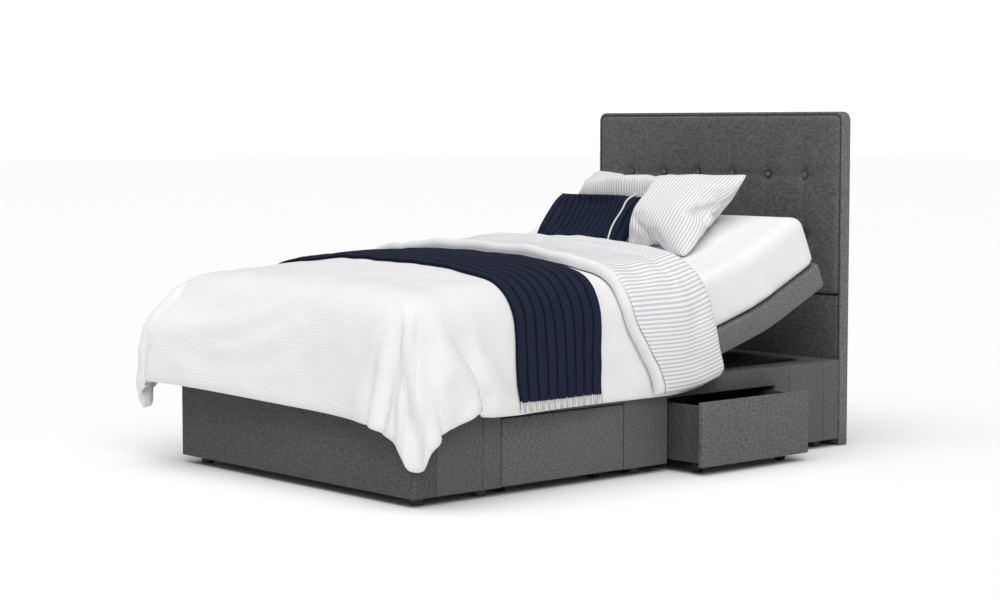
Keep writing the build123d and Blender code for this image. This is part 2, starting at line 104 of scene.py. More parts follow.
class Value:
    """A number that changes over a surface. Sums on it add Math nodes to its tree."""

    def __init__(self, nodes, socket):
        self.nodes = nodes
        self.socket = socket

    def math(self, operation, *terms):
        return self.nodes.node("Math", {"operation": operation}, dict(enumerate(terms)))

    def __add__(self, other):
        return self.math("ADD", self, other)

    __radd__ = __add__

    def __sub__(self, other):
        return self.math("SUBTRACT", self, other)

    def __rsub__(self, other):
        return self.math("SUBTRACT", other, self)

    def __mul__(self, other):
        return self.math("MULTIPLY", self, other)

    __rmul__ = __mul__

    def __truediv__(self, other):
        return self.math("DIVIDE", self, other)

    def __rtruediv__(self, other):
        return self.math("DIVIDE", other, self)

    def wave(self):
        """From 0 to 1 and back, once as the value grows by 1."""
        return self.math("SINE", self * math.tau) * 0.5 + 0.5

    def above(self, low, high):
        """0 under low and 1 over high, with a soft step between."""
        return self.nodes.node(
            "MapRange",
            {"interpolation_type": "SMOOTHSTEP"},
            {"Value": self, "From Min": low, "From Max": high},
        )


class Nodes:
    """A tree of nodes, and the one way in which nodes are added to it."""

    def __init__(self, owner):
        owner.use_nodes = True
        self.tree = owner.node_tree

    def feed(self, socket, value):
        if isinstance(value, Value):
            self.tree.links.new(value.socket, socket)
        else:
            socket.default_value = value

    def node(self, kind, settings=None, inputs=None, output=0):
        made = self.tree.nodes.new("ShaderNode" + kind)
        for key, value in (settings or {}).items():
            setattr(made, key, value)
        for key, value in (inputs or {}).items():
            self.feed(made.inputs[key], value)
        return Value(self, made.outputs[output])


class Finish(Nodes):
    """A material: a shader with its plain numbers, and the nodes that change over the surface."""

    def __init__(self, name, source="Attribute", **plain):
        self.material = bpy.data.materials.new(name)
        super().__init__(self.material)
        self.shader = self.tree.nodes["Principled BSDF"]
        for socket, value in plain.items():
            self.feed(self.shader.inputs[socket.replace("_", " ")], value)
        if source == "Attribute":
            self.place = self.node("Attribute", {"attribute_name": "cloth"}, output="Vector")
        else:
            self.place = self.node("TexCoord", output="Object")
        self.across, self.along, self.height = (
            self.node("SeparateXYZ", {}, {0: self.place}, axis) for axis in "XYZ"
        )

    def grain(self, scale, detail=3.0, stretch=(1.0, 1.0, 1.0)):
        """Noise of scale lumps in a metre, stretched along the axes."""
        place = self.node("VectorMath", {"operation": "MULTIPLY"}, {0: self.place, 1: stretch})
        return self.node("TexNoise", {}, {"Vector": place, "Scale": scale, "Detail": detail})

    def mix(self, factor, first, second):
        """The first colour where factor is 0, and the second where it is 1."""
        return self.node(
            "Mix", {"data_type": "RGBA"}, {"Factor": factor, 6: first, 7: second}, output=2
        )

    def paint(self, colour=None, roughness=None, bump=None, relief=0.001, strength=0.5):
        if colour is not None:
            self.feed(self.shader.inputs["Base Color"], colour)
        if roughness is not None:
            self.feed(self.shader.inputs["Roughness"], roughness)
        if bump is not None:
            normal = self.node(
                "Bump", {}, {"Height": bump, "Distance": relief, "Strength": strength}
            )
            self.feed(self.shader.inputs["Normal"], normal)
        return self.material


def tone(level, tint=(1.0, 1.0, 1.0)):
    """A colour of one level, tinted."""
    return tuple(level * part for part in tint) + (1.0,)


GREY_TINT = (0.98, 0.98, 1.02)
WEAVE_PITCH = 0.0016


def upholstery(name, level, source="Attribute"):
    """Heathered plain weave in charcoal."""
    cloth = Finish(name, source)
    warp = ((cloth.across + cloth.height * 0.31) / WEAVE_PITCH).wave()
    weft = ((cloth.height + cloth.along * 0.83) / WEAVE_PITCH).wave()
    fleck = cloth.grain(380, 2.0)
    slub = cloth.grain(125, 3.0, (1.0, 1.0, 2.0))
    cloud = cloth.grain(5.0, 3.0)
    shade = fleck.above(0.38, 0.62) * 0.36 + slub.above(0.40, 0.60) * 0.46 + cloud * 0.25
    colour = cloth.mix(shade, tone(level * 0.46, GREY_TINT), tone(level * 1.66, GREY_TINT))
    return cloth.paint(colour, 0.88 - fleck * 0.08, warp * weft + fleck * 0.9, 0.0006, 0.45)


COTTON = {"Sheen_Weight": 0.08, "Sheen_Roughness": 0.4}
COTTON_WHITE = 0.84


def white_cotton(name, level=COTTON_WHITE):
    """Smooth sheeting with a close weave and soft creasing, with slight painted shade in the crease
    hollows.
    """
    cloth = Finish(name, **COTTON)
    crease = cloth.grain(9.0, 4.0, (1.0, 1.0, 0.45))
    thread = cloth.grain(700, 1.0)
    # The colour is a little darker and bluer where the creases sink, painted shade.
    colour = cloth.mix(crease, tone(level * 0.97, (0.99, 0.99, 1.02)), tone(level * 1.03))
    return cloth.paint(colour, 0.82 + thread * 0.08, crease * 1.0 + thread * 0.05, 0.006, 0.35)


SEERSUCKER_ROW = 0.0105
SEERSUCKER_DASH = 0.0062


def seersucker(name, level=COTTON_WHITE):
    """White cotton woven in rows of small puckers that run across the bed, darker between the
    puckers and in crease hollows as painted shade.
    """
    cloth = Finish(name, **COTTON)
    wander = cloth.grain(30, 2.0)
    row = (cloth.along / SEERSUCKER_ROW + wander * 0.5).wave()
    dash = (cloth.across / SEERSUCKER_DASH + wander * 1.6).wave()
    pucker = row.above(0.30, 0.75) * dash
    crease = cloth.grain(7.0, 4.0)
    # The colour is darker between the puckers and in the crease hollows, painted shade.
    colour = cloth.mix(pucker * 0.6 + crease * 0.4, tone(level * 0.93), tone(level * 1.03))
    return cloth.paint(colour, 0.84, pucker * 0.35 + crease * 1.2, 0.0032, 0.5)


STRIPE_PITCH = 0.0128


def striped(name, level=COTTON_WHITE, pitch=STRIPE_PITCH):
    """White cotton with thin grey-blue stripes, a little puckered between them."""
    cloth = Finish(name, **COTTON)
    wander = cloth.grain(14, 2.0)
    stripe = (cloth.across / pitch + wander * 0.12).wave()
    thread = cloth.grain(600, 1.0)
    crease = cloth.grain(8.0, 4.0)
    line = stripe.above(0.35, 0.80) * (0.75 + thread * 0.5)
    colour = cloth.mix(line, tone(level), tone(level * 0.68, (0.985, 0.98, 1.05)))
    return cloth.paint(colour, 0.84, stripe * 0.12 + crease * 1.0, 0.004, 0.4)


NAP_PITCH = 0.0021


def navy(name, axis, first, pitch):
    """Deep navy cotton velvet with a short nap, with near-black painted shade along its pleat
    valleys.
    """
    cloth = Finish(name, Specular_IOR_Level=0.06)
    nap = cloth.grain(420, 3.0)
    cloud = cloth.grain(16, 3.0)
    velvet = cloth.mix(
        nap * 0.5 + cloud * 0.5, (0.0075, 0.0120, 0.0260, 1.0), (0.0210, 0.0290, 0.0540, 1.0)
    )
    place = getattr(cloth, axis)
    # The near-black lines at each pleat are painted shade in the pleat valleys.
    pleat_valley_shade = ((place - first) / pitch + 0.25).wave().above(0.78, 0.98)
    colour = cloth.mix(pleat_valley_shade * 0.75, velvet, (0.0045, 0.0045, 0.0080, 1.0))
    thread = (place / NAP_PITCH).wave()
    return cloth.paint(colour, 0.86 - nap * 0.1, thread * 0.6 + nap, 0.0006, 0.5)


def fringe_cotton(name):
    """Off-white trim, gathered in fine upright pleats, with painted shade in the pleat hollows."""
    cloth = Finish(name, Sheen_Weight=0.2)
    pleat = (cloth.along / 0.0085 + cloth.grain(60, 2.0) * 0.8).wave()
    # The colour is darker in the pleat hollows, painted shade.
    colour = cloth.mix(pleat, tone(0.40, (1.0, 0.97, 0.95)), tone(0.76, (1.0, 0.98, 0.96)))
    return cloth.paint(colour, 0.9, pleat, 0.0025, 0.7)


def powder_coat(name, level):
    """Powder-coated steel with a fine orange peel and rubbed patches."""
    metal = Finish(name, "TexCoord", Metallic=0.6, Coat_Weight=0.1)
    peel = metal.grain(500, 2.0)
    rub = metal.grain(18, 4.0).above(0.60, 0.80)
    colour = metal.mix(rub * 0.5, tone(level), tone(level * 2.2))
    return metal.paint(colour, 0.42 + peel * 0.2, peel, 0.0004, 0.3)


def bright_metal(name):
    """Turned bright steel with fine rings."""
    metal = Finish(name, "TexCoord", Metallic=1.0)
    turning = metal.grain(60, 2.0, (30.0, 1.0, 1.0))
    colour = metal.mix(turning, tone(0.38), tone(0.62))
    return metal.paint(colour, 0.22 + turning * 0.22, turning, 0.0002, 0.3)


def moulded(name, level):
    """Moulded plastic with a spark-eroded skin."""
    plastic = Finish(name, "TexCoord")
    skin = plastic.grain(900, 2.0)
    cloud = plastic.grain(12, 2.0)
    colour = plastic.mix(cloud, tone(level * 0.85), tone(level * 1.2))
    return plastic.paint(colour, 0.45 + skin * 0.2, skin, 0.0003, 0.35)


def timber(name, source="TexCoord", light=(0.42, 0.29, 0.17), dark=(0.27, 0.17, 0.09)):
    """Planed softwood with long grain."""
    wood = Finish(name, source)
    grain = wood.grain(22, 5.0, (1.0, 0.10, 1.0))
    ring = (wood.across * 38.0 + wood.height * 21.0 + grain * 3.0).wave()
    colour = wood.mix(ring * 0.6 + grain * 0.4, dark + (1.0,), light + (1.0,))
    return wood.paint(colour, 0.55 + grain * 0.2, ring + grain, 0.0008, 0.25)


# ---------------------------------------------------------------- shaping


def smooth_step(value, low, high):
    t = np.clip((value - low) / (high - low), 0.0, 1.0)
    return t * t * (3.0 - 2.0 * t)


def deck_line():
    """The bent hinge line of the deck: its tilt, and where each flat place along it goes."""
    flat = np.arange(-1.6, 1.4, 0.001)
    tilt = np.zeros_like(flat)
    for at, angle in (LUMBAR_HINGE, BACK_HINGE):
        tilt += angle * smooth_step(flat, at - BEND_REACH, at + BEND_REACH)
    step = 0.001
    along = np.cumsum(np.cos(tilt)) * step
    up = np.cumsum(np.sin(tilt)) * step
    zero = np.searchsorted(flat, 0.0)
    return flat, tilt, along - along[zero], up - up[zero] + HINGE_HEIGHT


DECK_LINE = deck_line()


def lay_on_deck(points):
    """Points made with the deck flat, moved to the deck as it is raised."""
    flat, tilt, along, up = DECK_LINE
    place = np.array(points, float)
    y, height = place[..., 1].copy(), place[..., 2] - HINGE_HEIGHT
    angle = np.interp(y, flat, tilt)
    place[..., 1] = np.interp(y, flat, along) - height * np.sin(angle)
    place[..., 2] = np.interp(y, flat, up) + height * np.cos(angle)
    return place


def lumps(points, scale, seed):
    """Smooth noise at each point, from -1 to 1, of about that scale in metres."""
    shift = Vector((seed * 17.3, seed * 5.1, seed * 9.7))
    shape = points.shape[:-1]
    flat = points.reshape(-1, 3) / scale
    values = [noise.noise(Vector(point) + shift) for point in flat]
    return np.array(values).reshape(shape)


def added(name, data):
    """A mesh, a lamp or a camera as an object in the scene."""
    obj = bpy.data.objects.new(name, data)
    bpy.context.scene.collection.objects.link(obj)
    return obj


def piece_from(name, points, faces, finishes, cloth=None, shades=None):
    """A mesh piece with its cloth places kept on its points, and one finish or several by face."""
    mesh = bpy.data.meshes.new(name)
    mesh.from_pydata(np.asarray(points, float).reshape(-1, 3).tolist(), [], faces)
    if cloth is not None:
        places = mesh.attributes.new("cloth", "FLOAT_VECTOR", "POINT")
        places.data.foreach_set("vector", np.asarray(cloth, np.float32).ravel())
    for finish in finishes if isinstance(finishes, list) else [finishes]:
        mesh.materials.append(finish)
    if shades is not None:
        mesh.polygons.foreach_set("material_index", np.asarray(shades, np.int32))
    mesh.polygons.foreach_set("use_smooth", [True] * len(mesh.polygons))
    mesh.validate()
    mesh.update()
    obj = added(name, mesh)
    tidy_faces(obj)
    return obj


def tidy_faces(obj):
    """Welds what touches and turns the faces outward."""
    work = bmesh.new()
    work.from_mesh(obj.data)
    bmesh.ops.remove_doubles(work, verts=work.verts, dist=0.00002)
    bmesh.ops.dissolve_degenerate(work, edges=work.edges, dist=0.00001)
    bmesh.ops.recalc_face_normals(work, faces=work.faces)
    work.to_mesh(obj.data)
    work.free()
    obj.data.update()


def made_finer(obj):
    """Splits each face of the piece in four over a smoother shape."""
    obj.modifiers.new("Subsurf", "SUBSURF").levels = 1
    finished = bpy.data.meshes.new_from_object(
        obj.evaluated_get(bpy.context.evaluated_depsgraph_get())
    )
    obj.modifiers.clear()
    obj.data = finished


def creased(obj, degrees=40):
    """Sharp shading only where faces meet at more than this angle."""
    work = bmesh.new()
    work.from_mesh(obj.data)
    limit = math.radians(degrees)
    for edge in work.edges:
        edge.smooth = not (len(edge.link_faces) == 2 and edge.calc_face_angle(0.0) > limit)
    work.to_mesh(obj.data)
    work.free()
    return obj


def stations(low, high, step, soft_low, soft_high):
    """Places from low to high, closer together over the rounded ends."""
    inner_low, inner_high = low + soft_low, high - soft_high
    count = max(2, int(round((inner_high - inner_low) / step)) + 1)
    middle = np.linspace(inner_low, inner_high, count)
    close = 1.0 - np.sin(np.linspace(0.0, math.pi / 2, 6))
    places = np.concatenate([low + soft_low * close, middle, high - soft_high * close])
    return np.unique(np.round(places, 7))


def block(low, high, step, soft_low, soft_high):
    """Points and faces of a box whose edges are rounded by soft_low and soft_high on each axis."""
    low, high = np.array(low, float), np.array(high, float)
    soft_low, soft_high = np.array(soft_low, float), np.array(soft_high, float)
    lines = [stations(low[a], high[a], step, soft_low[a], soft_high[a]) for a in range(3)]
    points, faces = [], []
    for axis in range(3):
        one, two = [a for a in range(3) if a != axis]
        first, second = np.meshgrid(lines[one], lines[two], indexing="ij")
        for side in (low[axis], high[axis]):
            sheet = np.empty(first.shape + (3,))
            sheet[..., axis], sheet[..., one], sheet[..., two] = side, first, second
            faces += grid_faces(*first.shape, start=sum(len(p) for p in points))
            points.append(sheet.reshape(-1, 3))
    points = np.concatenate(points)
    core = np.clip(points, low + soft_low, high - soft_high)
    reach = points - core
    soft = np.where(reach < 0, soft_low, soft_high)
    unit = np.divide(reach, soft, out=np.zeros_like(reach), where=soft > 0)
    length = np.linalg.norm(unit, axis=1)
    longest = np.abs(unit).max(axis=1)
    share = np.divide(longest, length, out=np.zeros_like(length), where=length > 1e-9)
    return core + unit * soft * share[:, None], faces


def grid_faces(rows, columns, start=0, flip=False):
    """The faces of a grid of points numbered row by row."""
    index = start + np.arange(rows * columns).reshape(rows, columns)
    corners = (index[:-1, :-1], index[1:, :-1], index[1:, 1:], index[:-1, 1:])
    if flip:
        corners = corners[::-1]
    return np.stack(corners, axis=-1).reshape(-1, 4).tolist()


def sweep(path, section, sideways, up, closed=False):
    """Points and faces of a section carried along a path, its first number going sideways."""
    path, sideways, up = (np.array(p, float) for p in (path, sideways, up))
    section = np.array(section, float)
    rings = (
        path[:, None]
        + section[None, :, :1] * sideways[:, None]
        + section[None, :, 1:] * up[:, None]
    )
    if closed:
        rings = np.concatenate([rings, rings[:1]])
    looped = np.concatenate([rings, rings[:, :1]], axis=1)
    count, size = len(rings), len(section)
    faces = grid_faces(count, size + 1)
    if not closed:
        faces.append([k for k in range(size)][::-1])
        faces.append([(count - 1) * (size + 1) + k for k in range(size)])
    return looped.reshape(-1, 3), faces


def round_section(width, height, soft, turns=4):
    """A rectangle with rounded corners, about its middle."""
    corners = []
    for quarter, (x, y) in enumerate(((1, 1), (-1, 1), (-1, -1), (1, -1))):
        for turn in np.linspace(0.0, math.pi / 2, turns + 1):
            angle = turn + quarter * math.pi / 2
            corners.append(
                (
                    x * (width / 2 - soft) + soft * math.cos(angle),
                    y * (height / 2 - soft) + soft * math.sin(angle),
                )
            )
    return corners


def ring_section(radius, count=10):
    return [
        (radius * math.cos(math.tau * k / count), radius * math.sin(math.tau * k / count))
        for k in range(count)
    ]


def turned(profile, centre, axis, count=24):
    """Points and faces of a turned shape, from pairs of distance along the axis and radius."""
    axis = np.array(axis, float)
    other = np.array((0.0, 0.0, 1.0)) if abs(axis[2]) < 0.9 else np.array((1.0, 0.0, 0.0))
    side = np.cross(axis, other)
    angles = np.linspace(0.0, math.tau, count + 1)
    around = np.cos(angles)[:, None] * side + np.sin(angles)[:, None] * other
    profile = np.array(profile, float)
    points = (
        np.array(centre)
        + profile[:, None, :1] * axis
        + profile[:, None, 1:] * around[None]
    )
    return points.reshape(-1, 3), grid_faces(len(profile), count + 1)


def joined_shapes(shapes):
    """Several lots of points and faces as one."""
    points, faces, start = [], [], 0
    for some, these in shapes:
        points.append(np.asarray(some).reshape(-1, 3))
        faces += [[index + start for index in face] for face in these]
        start += len(points[-1])
    return np.concatenate(points), faces


SHARP_EDGE = 0.6


def node_shape(node):
    """The shape of a CAD node, with each flat side as one face."""
    work = bmesh.new()
    work.from_mesh(frame["nodes"][node].data)
    bmesh.ops.remove_doubles(work, verts=work.verts, dist=0.00001)
    bmesh.ops.dissolve_limit(
        work, angle_limit=math.radians(1), verts=work.verts, edges=work.edges
    )
    return work


def soft_edged(name, work, edge, finish, carrier, slot, *nodes):
    """A shape with its edges rounded, for boards that are wrapped or sanded."""
    sharp = [
        e for e in work.edges if len(e.link_faces) == 2 and e.calc_face_angle(0.0) > SHARP_EDGE
    ]
    bmesh.ops.bevel(work, geom=sharp, offset=edge, segments=3, profile=0.5, affect="EDGES")
    mesh = bpy.data.meshes.new(name)
    work.to_mesh(mesh)
    work.free()
    mesh.materials.append(finish)
    mesh.polygons.foreach_set("use_smooth", [True] * len(mesh.polygons))
    mesh.polygons.foreach_set("material_index", [0] * len(mesh.polygons))
    places = np.empty(len(mesh.vertices) * 3, np.float32)
    mesh.vertices.foreach_get("co", places)
    mark = mesh.attributes.new("cloth", "FLOAT_VECTOR", "POINT")
    mark.data.foreach_set("vector", places)
    fitted_out(creased(added(name, mesh), 30), carrier, slot, *nodes)


# Each bend's first and second section, its pivot, its slope in degrees and its reach either way.
BENDS = {
    "knee": ("calf_section", "thigh_section", KNEE_PIVOT, 0.0, 0.10),
    "thigh": ("thigh_section", "base", THIGH_PIVOT, 0.0, 0.11),
    "lumbar": ("base", "lumbar_section", LUMBAR_PIVOT, 8.25, 0.10),
    "back": ("lumbar_section", "back_section", BACK_PIVOT, 20.75, 0.11),
}


def bends_over(obj):
    """Bakes the piece's place into its points; nothing more is done for the bend."""
    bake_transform(obj)


def fitted_out(piece, carrier, slot, *nodes, fill=None):
    """Attaches the piece to its body, or for a bend bakes its place, and hides the nodes it stands
    for; slot is not used.
    """
    if carrier in BENDS:
        bends_over(piece)
    else:
        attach(piece, carrier)
    if nodes:
        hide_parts(*nodes)


def tipped(points, turn, pivot):
    """Points given by x, along and above a section, tipped up by turn about the pivot."""
    y = pivot[0] + points[:, 1] * math.cos(turn) - points[:, 2] * math.sin(turn)
    z = pivot[1] + points[:, 1] * math.sin(turn) + points[:, 2] * math.cos(turn)
    return np.stack([points[:, 0], y, z], axis=1)


# ---------------------------------------------------------------- the finishes of this bed

# One charcoal weave in copies of different levels that paint in light and shade: the foot panel's
# copy is darker as painted shade, and the drawers' and the headboard border's copies are lighter as
# painted light.
foot_cloth_painted_shade = upholstery("charcoal_weave_foot_painted_shade", 0.068)
base_cloth = upholstery("charcoal_weave_base", 0.090)
drawer_cloth_painted_light = upholstery("charcoal_weave_drawers_painted_light", 0.100)
headboard_cloth = upholstery("charcoal_weave_headboard", 0.094)
border_cloth_painted_light = upholstery("charcoal_weave_border_painted_light", 0.128)
deck_cloth = upholstery("charcoal_weave_deck", 0.135)
base_cloth_plain = upholstery("charcoal_weave_panels", 0.080, "TexCoord")
sheet_cotton = white_cotton("fitted_sheet_cotton")
duvet_cotton = seersucker("duvet_seersucker")
duvet_reverse = striped("duvet_striped_reverse")
roll_cotton = white_cotton("duvet_roll_cotton", 0.80)
# A near-black weave that paints the shadow in seams: the headboard welt cord and the strip beside
# the flap's roll.
seam_painted_shadow = upholstery("seam_shadow_thread", 0.034)
pillow_cotton = striped("pillow_striped_cotton", pitch=0.0125)
runner_velvet = navy("runner_navy", "along", RUNNER_START, RUNNER_WIDTH / RUNNER_RIBS)
cushion_velvet = navy("cushion_navy", "across", CUSHION_SEWN, CUSHION_PLEAT)
trim_cotton = fringe_cotton("runner_trim_cotton")
piping_cotton = white_cotton("cushion_piping_cotton", 0.70)
box_timber = timber(
    "drawer_box_timber", "Attribute", (0.062, 0.060, 0.060), (0.036, 0.034, 0.034)
)
board_timber = timber("deck_board_timber", "Attribute")
strut_timber = timber("strut_timber")
black_steel = powder_coat("black_powder_coat", 0.022)
pale_steel = bright_metal("bright_steel_pins")
black_plastic = moulded("drive_housing_plastic", 0.020)
castor_black = moulded("castor_plastic", 0.016)
glide_grey = moulded("glide_plastic", 0.055)


# ---------------------------------------------------------------- headboard


def headboard_outline(inset, soft, low, steps=8):
    """The headboard's edge in x and z, from foot to foot over the top, inset from its outside."""
    half, top = HEADBOARD_HALF - inset, HEADBOARD_TOP - inset
    points = [(-half, z) for z in np.linspace(low, top - soft, 14)]
    for turn in np.linspace(0.0, math.pi / 2, steps + 1)[1:]:
        points.append((-half + soft * (1 - math.cos(turn)), top - soft + soft * math.sin(turn)))
    points += [(x, top) for x in np.linspace(-half + soft, half - soft, 24)[1:]]
    for turn in np.linspace(math.pi / 2, 0.0, steps + 1)[1:]:
        points.append((half - soft * (1 - math.cos(turn)), top - soft + soft * math.sin(turn)))
    points += [(half, z) for z in np.linspace(top - soft, low, 14)[1:]]
    return np.array(points)


def along_headboard(name, outline, y, section, finish):
    """A border or a welt that follows the headboard's edge."""
    ahead = np.gradient(outline, axis=0)
    ahead /= np.linalg.norm(ahead, axis=1)[:, None]
    outward = np.stack([-ahead[:, 1], np.zeros(len(ahead)), ahead[:, 0]], axis=1)
    path = np.stack([outline[:, 0], np.full(len(outline), y), outline[:, 1]], axis=1)
    depth = np.tile((0.0, 1.0, 0.0), (len(path), 1))
    points, faces = sweep(path, section, outward, depth)
    return piece_from(name, points, faces, finish, cloth=points)


def button_places():
    return [((k - 2.5) * BUTTON_PITCH, z) for z in BUTTON_ROWS for k in range(6)]


BUTTON_SINK = 0.011
BUTTON_DIP = 0.004
CREASE_DEPTH = 0.0035
CUSHION_BACK = 0.981
BORDER = 0.009
BORDER_GAP = 0.0015
BUTTON_DOME = (
    (0.004, 0.0), (0.0038, 0.004), (0.0026, 0.0075), (0.0006, 0.0098),
    (-0.003, 0.0105), (-0.007, 0.0095),
)


def tufted(points):
    """How far the face is drawn back at its buttons and along the creases between them."""
    x, z = points[..., 0], points[..., 2]
    sink = np.zeros_like(x)
    for bx, bz in button_places():
        away = np.hypot(x - bx, z - bz)
        sink += BUTTON_SINK * np.exp(-((away / 0.020) ** 2))
        sink += BUTTON_DIP * np.exp(-((away / 0.060) ** 2))
    column = np.minimum.reduce([np.abs(x - (k - 2.5) * BUTTON_PITCH) for k in range(6)])
    fade = smooth_step(z, HEADBOARD_SEAM + 0.03, HEADBOARD_SEAM + 0.10)
    fade = fade * (1 - smooth_step(z, HEADBOARD_TOP - 0.10, HEADBOARD_TOP - 0.03))
    sink += CREASE_DEPTH * np.exp(-((column / 0.009) ** 2)) * fade
    span = 1 - smooth_step(np.abs(x), 0.44, 0.50)
    for row in BUTTON_ROWS:
        sink += CREASE_DEPTH * 0.8 * np.exp(-(((z - row) / 0.008) ** 2)) * span
    return sink


def make_headboard():
    half = HEADBOARD_HALF - BORDER - BORDER_GAP
    points, faces = block(
        (-half, HEADBOARD_FRONT - 0.004, HEADBOARD_SEAM + 0.002),
        (half, CUSHION_BACK, HEADBOARD_TOP - BORDER - BORDER_GAP),
        0.009,
        (0.022, 0.014, 0.014),
        (0.022, 0.004, 0.022),
    )
    front = 1 - smooth_step(points[:, 1], 0.950, 0.975)
    points[:, 1] += front * (tufted(points) + 0.0012 * lumps(points, 0.12, 3))
    cushion = piece_from("headboard_cushion_tufted", points, faces, headboard_cloth, cloth=points)
    fitted_out(
        creased(cushion, 50), "base", "headboard_fabric", "headboard_cushion", fill=0.5
    )

    points, faces = block(
        (-half, 0.955, 0.004), (half, CUSHION_BACK, HEADBOARD_SEAM - 0.001),
        0.05, (0.012, 0.008, 0.006), (0.012, 0.004, 0.008),
    )
    lower = piece_from("headboard_lower_upholstery", points, faces, headboard_cloth, cloth=points)
    fitted_out(creased(lower, 50), "base", "headboard_fabric", "headboard_lower_panel")

    # The border band takes the lighter copy of the weave, painted light.
    band = along_headboard(
        "headboard_border_band", headboard_outline(BORDER / 2, 0.026, 0.001), 0.9765,
        round_section(BORDER, 0.043, 0.0035), border_cloth_painted_light,
    )
    fitted_out(band, "base", "headboard_fabric", "headboard_border")
    # The welt is a thin near-black cord in the seam between cushion and border, a painted shadow.
    welt = along_headboard(
        "headboard_welt", headboard_outline(BORDER + 0.0008, 0.020, 0.006), 0.9565,
        ring_section(0.0018), seam_painted_shadow,
    )
    fitted_out(welt, "base", "headboard_fabric")

    points, faces = joined_shapes(
        turned(BUTTON_DOME, (x, HEADBOARD_FRONT + 0.0040, z), (0.0, -1.0, 0.0))
        for x, z in button_places()
    )
    buttons = piece_from("headboard_buttons_covered", points, faces, headboard_cloth, cloth=points)
    fitted_out(buttons, "base", "headboard_fabric", "headboard_buttons")
    # The back panel takes the border's lighter copy of the weave, painted light.
    soft_edged(
        "headboard_back_panel", node_shape("headboard_board"), 0.002, border_cloth_painted_light,
        "base", "headboard_fabric", "headboard_board",
    )


# ---------------------------------------------------------------- the box base and its drawers


def comb_outline():
    """The drawer side's frame in y and z: a top rail on three posts, with two openings under it."""
    near, far = OPENING
    return [
        (-POST_END, BASE_LOW), (-far, BASE_LOW), (-far, RAIL_UNDER), (-near, RAIL_UNDER),
        (-near, BASE_LOW), (near, BASE_LOW), (near, RAIL_UNDER), (far, RAIL_UNDER),
        (far, BASE_LOW), (POST_END, BASE_LOW), (POST_END, BASE_HIGH), (-POST_END, BASE_HIGH),
    ]


def make_comb():
    work = bmesh.new()
    inner = [work.verts.new((BASE_IN, y, z)) for y, z in comb_outline()]
    outer = [work.verts.new((BASE_HALF, y, z)) for y, z in comb_outline()]
    work.faces.new(inner)
    work.faces.new(outer[::-1])
    for k in range(len(inner)):
        n = (k + 1) % len(inner)
        work.faces.new((inner[k], outer[k], outer[n], inner[n]))
    bmesh.ops.recalc_face_normals(work, faces=work.faces)
    soft_edged(
        "drawer_side_frame", work, 0.003, base_cloth,
        "base", "base_fabric", "drawer_posts", "drawer_top_rail",
    )


def make_base():
    walls = ("head_rail", "side_wall_left", "side_wall_foot_end", "side_wall_head_end")
    for node in ("foot_panel",) + walls:
        # The foot panel takes the darker copy of the weave, painted shade.
        finish = foot_cloth_painted_shade if node == "foot_panel" else base_cloth
        soft_edged(
            node + "_upholstered", node_shape(node), 0.003, finish, "base", "base_fabric", node
        )
    make_comb()
    soft_edged(
        "centre_wall_lined", node_shape("centre_wall"), 0.002, base_cloth,
        "base", "base_fabric", "centre_wall",
    )
    for body in ("foot_drawer", "head_drawer"):
        front, box = body + "_front", body + "_box"
        # Drawer fronts take the lighter copy of the weave, painted light.
        soft_edged(
            front + "_upholstered", node_shape(front), 0.004, drawer_cloth_painted_light,
            body, "drawer_fabric", front,
        )
        soft_edged(
            box + "_lined", node_shape(box), 0.0015, box_timber, body, "drawer_timber", box
        )


def carried_over():
    """The mechanism, glides and castors keep their CAD shape and take a finish."""
    finishes = {
        "steel": black_steel, "bright_steel": pale_steel, "drive_plastic": black_plastic,
        "castor_plastic": castor_black, "glide_plastic": glide_grey, "timber": strut_timber,
        "base_fabric": base_cloth_plain, "headboard_fabric": base_cloth_plain,
        "drawer_fabric": base_cloth_plain, "drawer_timber": strut_timber,
    }
    for part in frame["record"]["subparts"]:
        finish = finishes.get(part["material_slot"])
        if finish:
            mesh = frame["nodes"][part["node"]].data
            mesh.materials.clear()
            mesh.materials.append(finish)


# ---------------------------------------------------------------- the deck


def band_path(start, stop, foot_end, head_end, side=None):
    """The middle line of the deck's edge band in plan, and its outward directions."""
    middle = BASE_HALF - BAND_WIDTH / 2
    count = max(4, int((stop - start) / 0.012))
    run = np.linspace(start, stop, count)
    if not foot_end and not head_end:
        line = np.stack([np.full(count, side * middle), run], axis=1)
        return line, np.tile((float(side), 0.0), (count, 1))
    soft = 0.028
    end = run[0] + BAND_WIDTH / 2 if foot_end else run[-1] - BAND_WIDTH / 2
    sign = -1.0 if foot_end else 1.0
    inner = soft * 0.6
    reach = [y for y in run if sign * (end - y) > inner]
    reach = sorted(reach, key=lambda y: sign * y)
    line = [(middle, y) for y in reach]
    turn = [
        (middle - inner + inner * math.cos(a), end - sign * inner + sign * inner * math.sin(a))
        for a in np.linspace(0.0, math.pi / 2, 7)
    ]
    right = line + turn
    across = [(x, end) for x in np.linspace(middle - inner, -(middle - inner), 40)[1:-1]]
    line = np.array(right + across + [(-x, y) for x, y in right[::-1]])
    ahead = np.gradient(line, axis=0)
    ahead /= np.linalg.norm(ahead, axis=1)[:, None]
    outward = np.stack([-ahead[:, 1], ahead[:, 0]], axis=1) * sign
    return line, outward


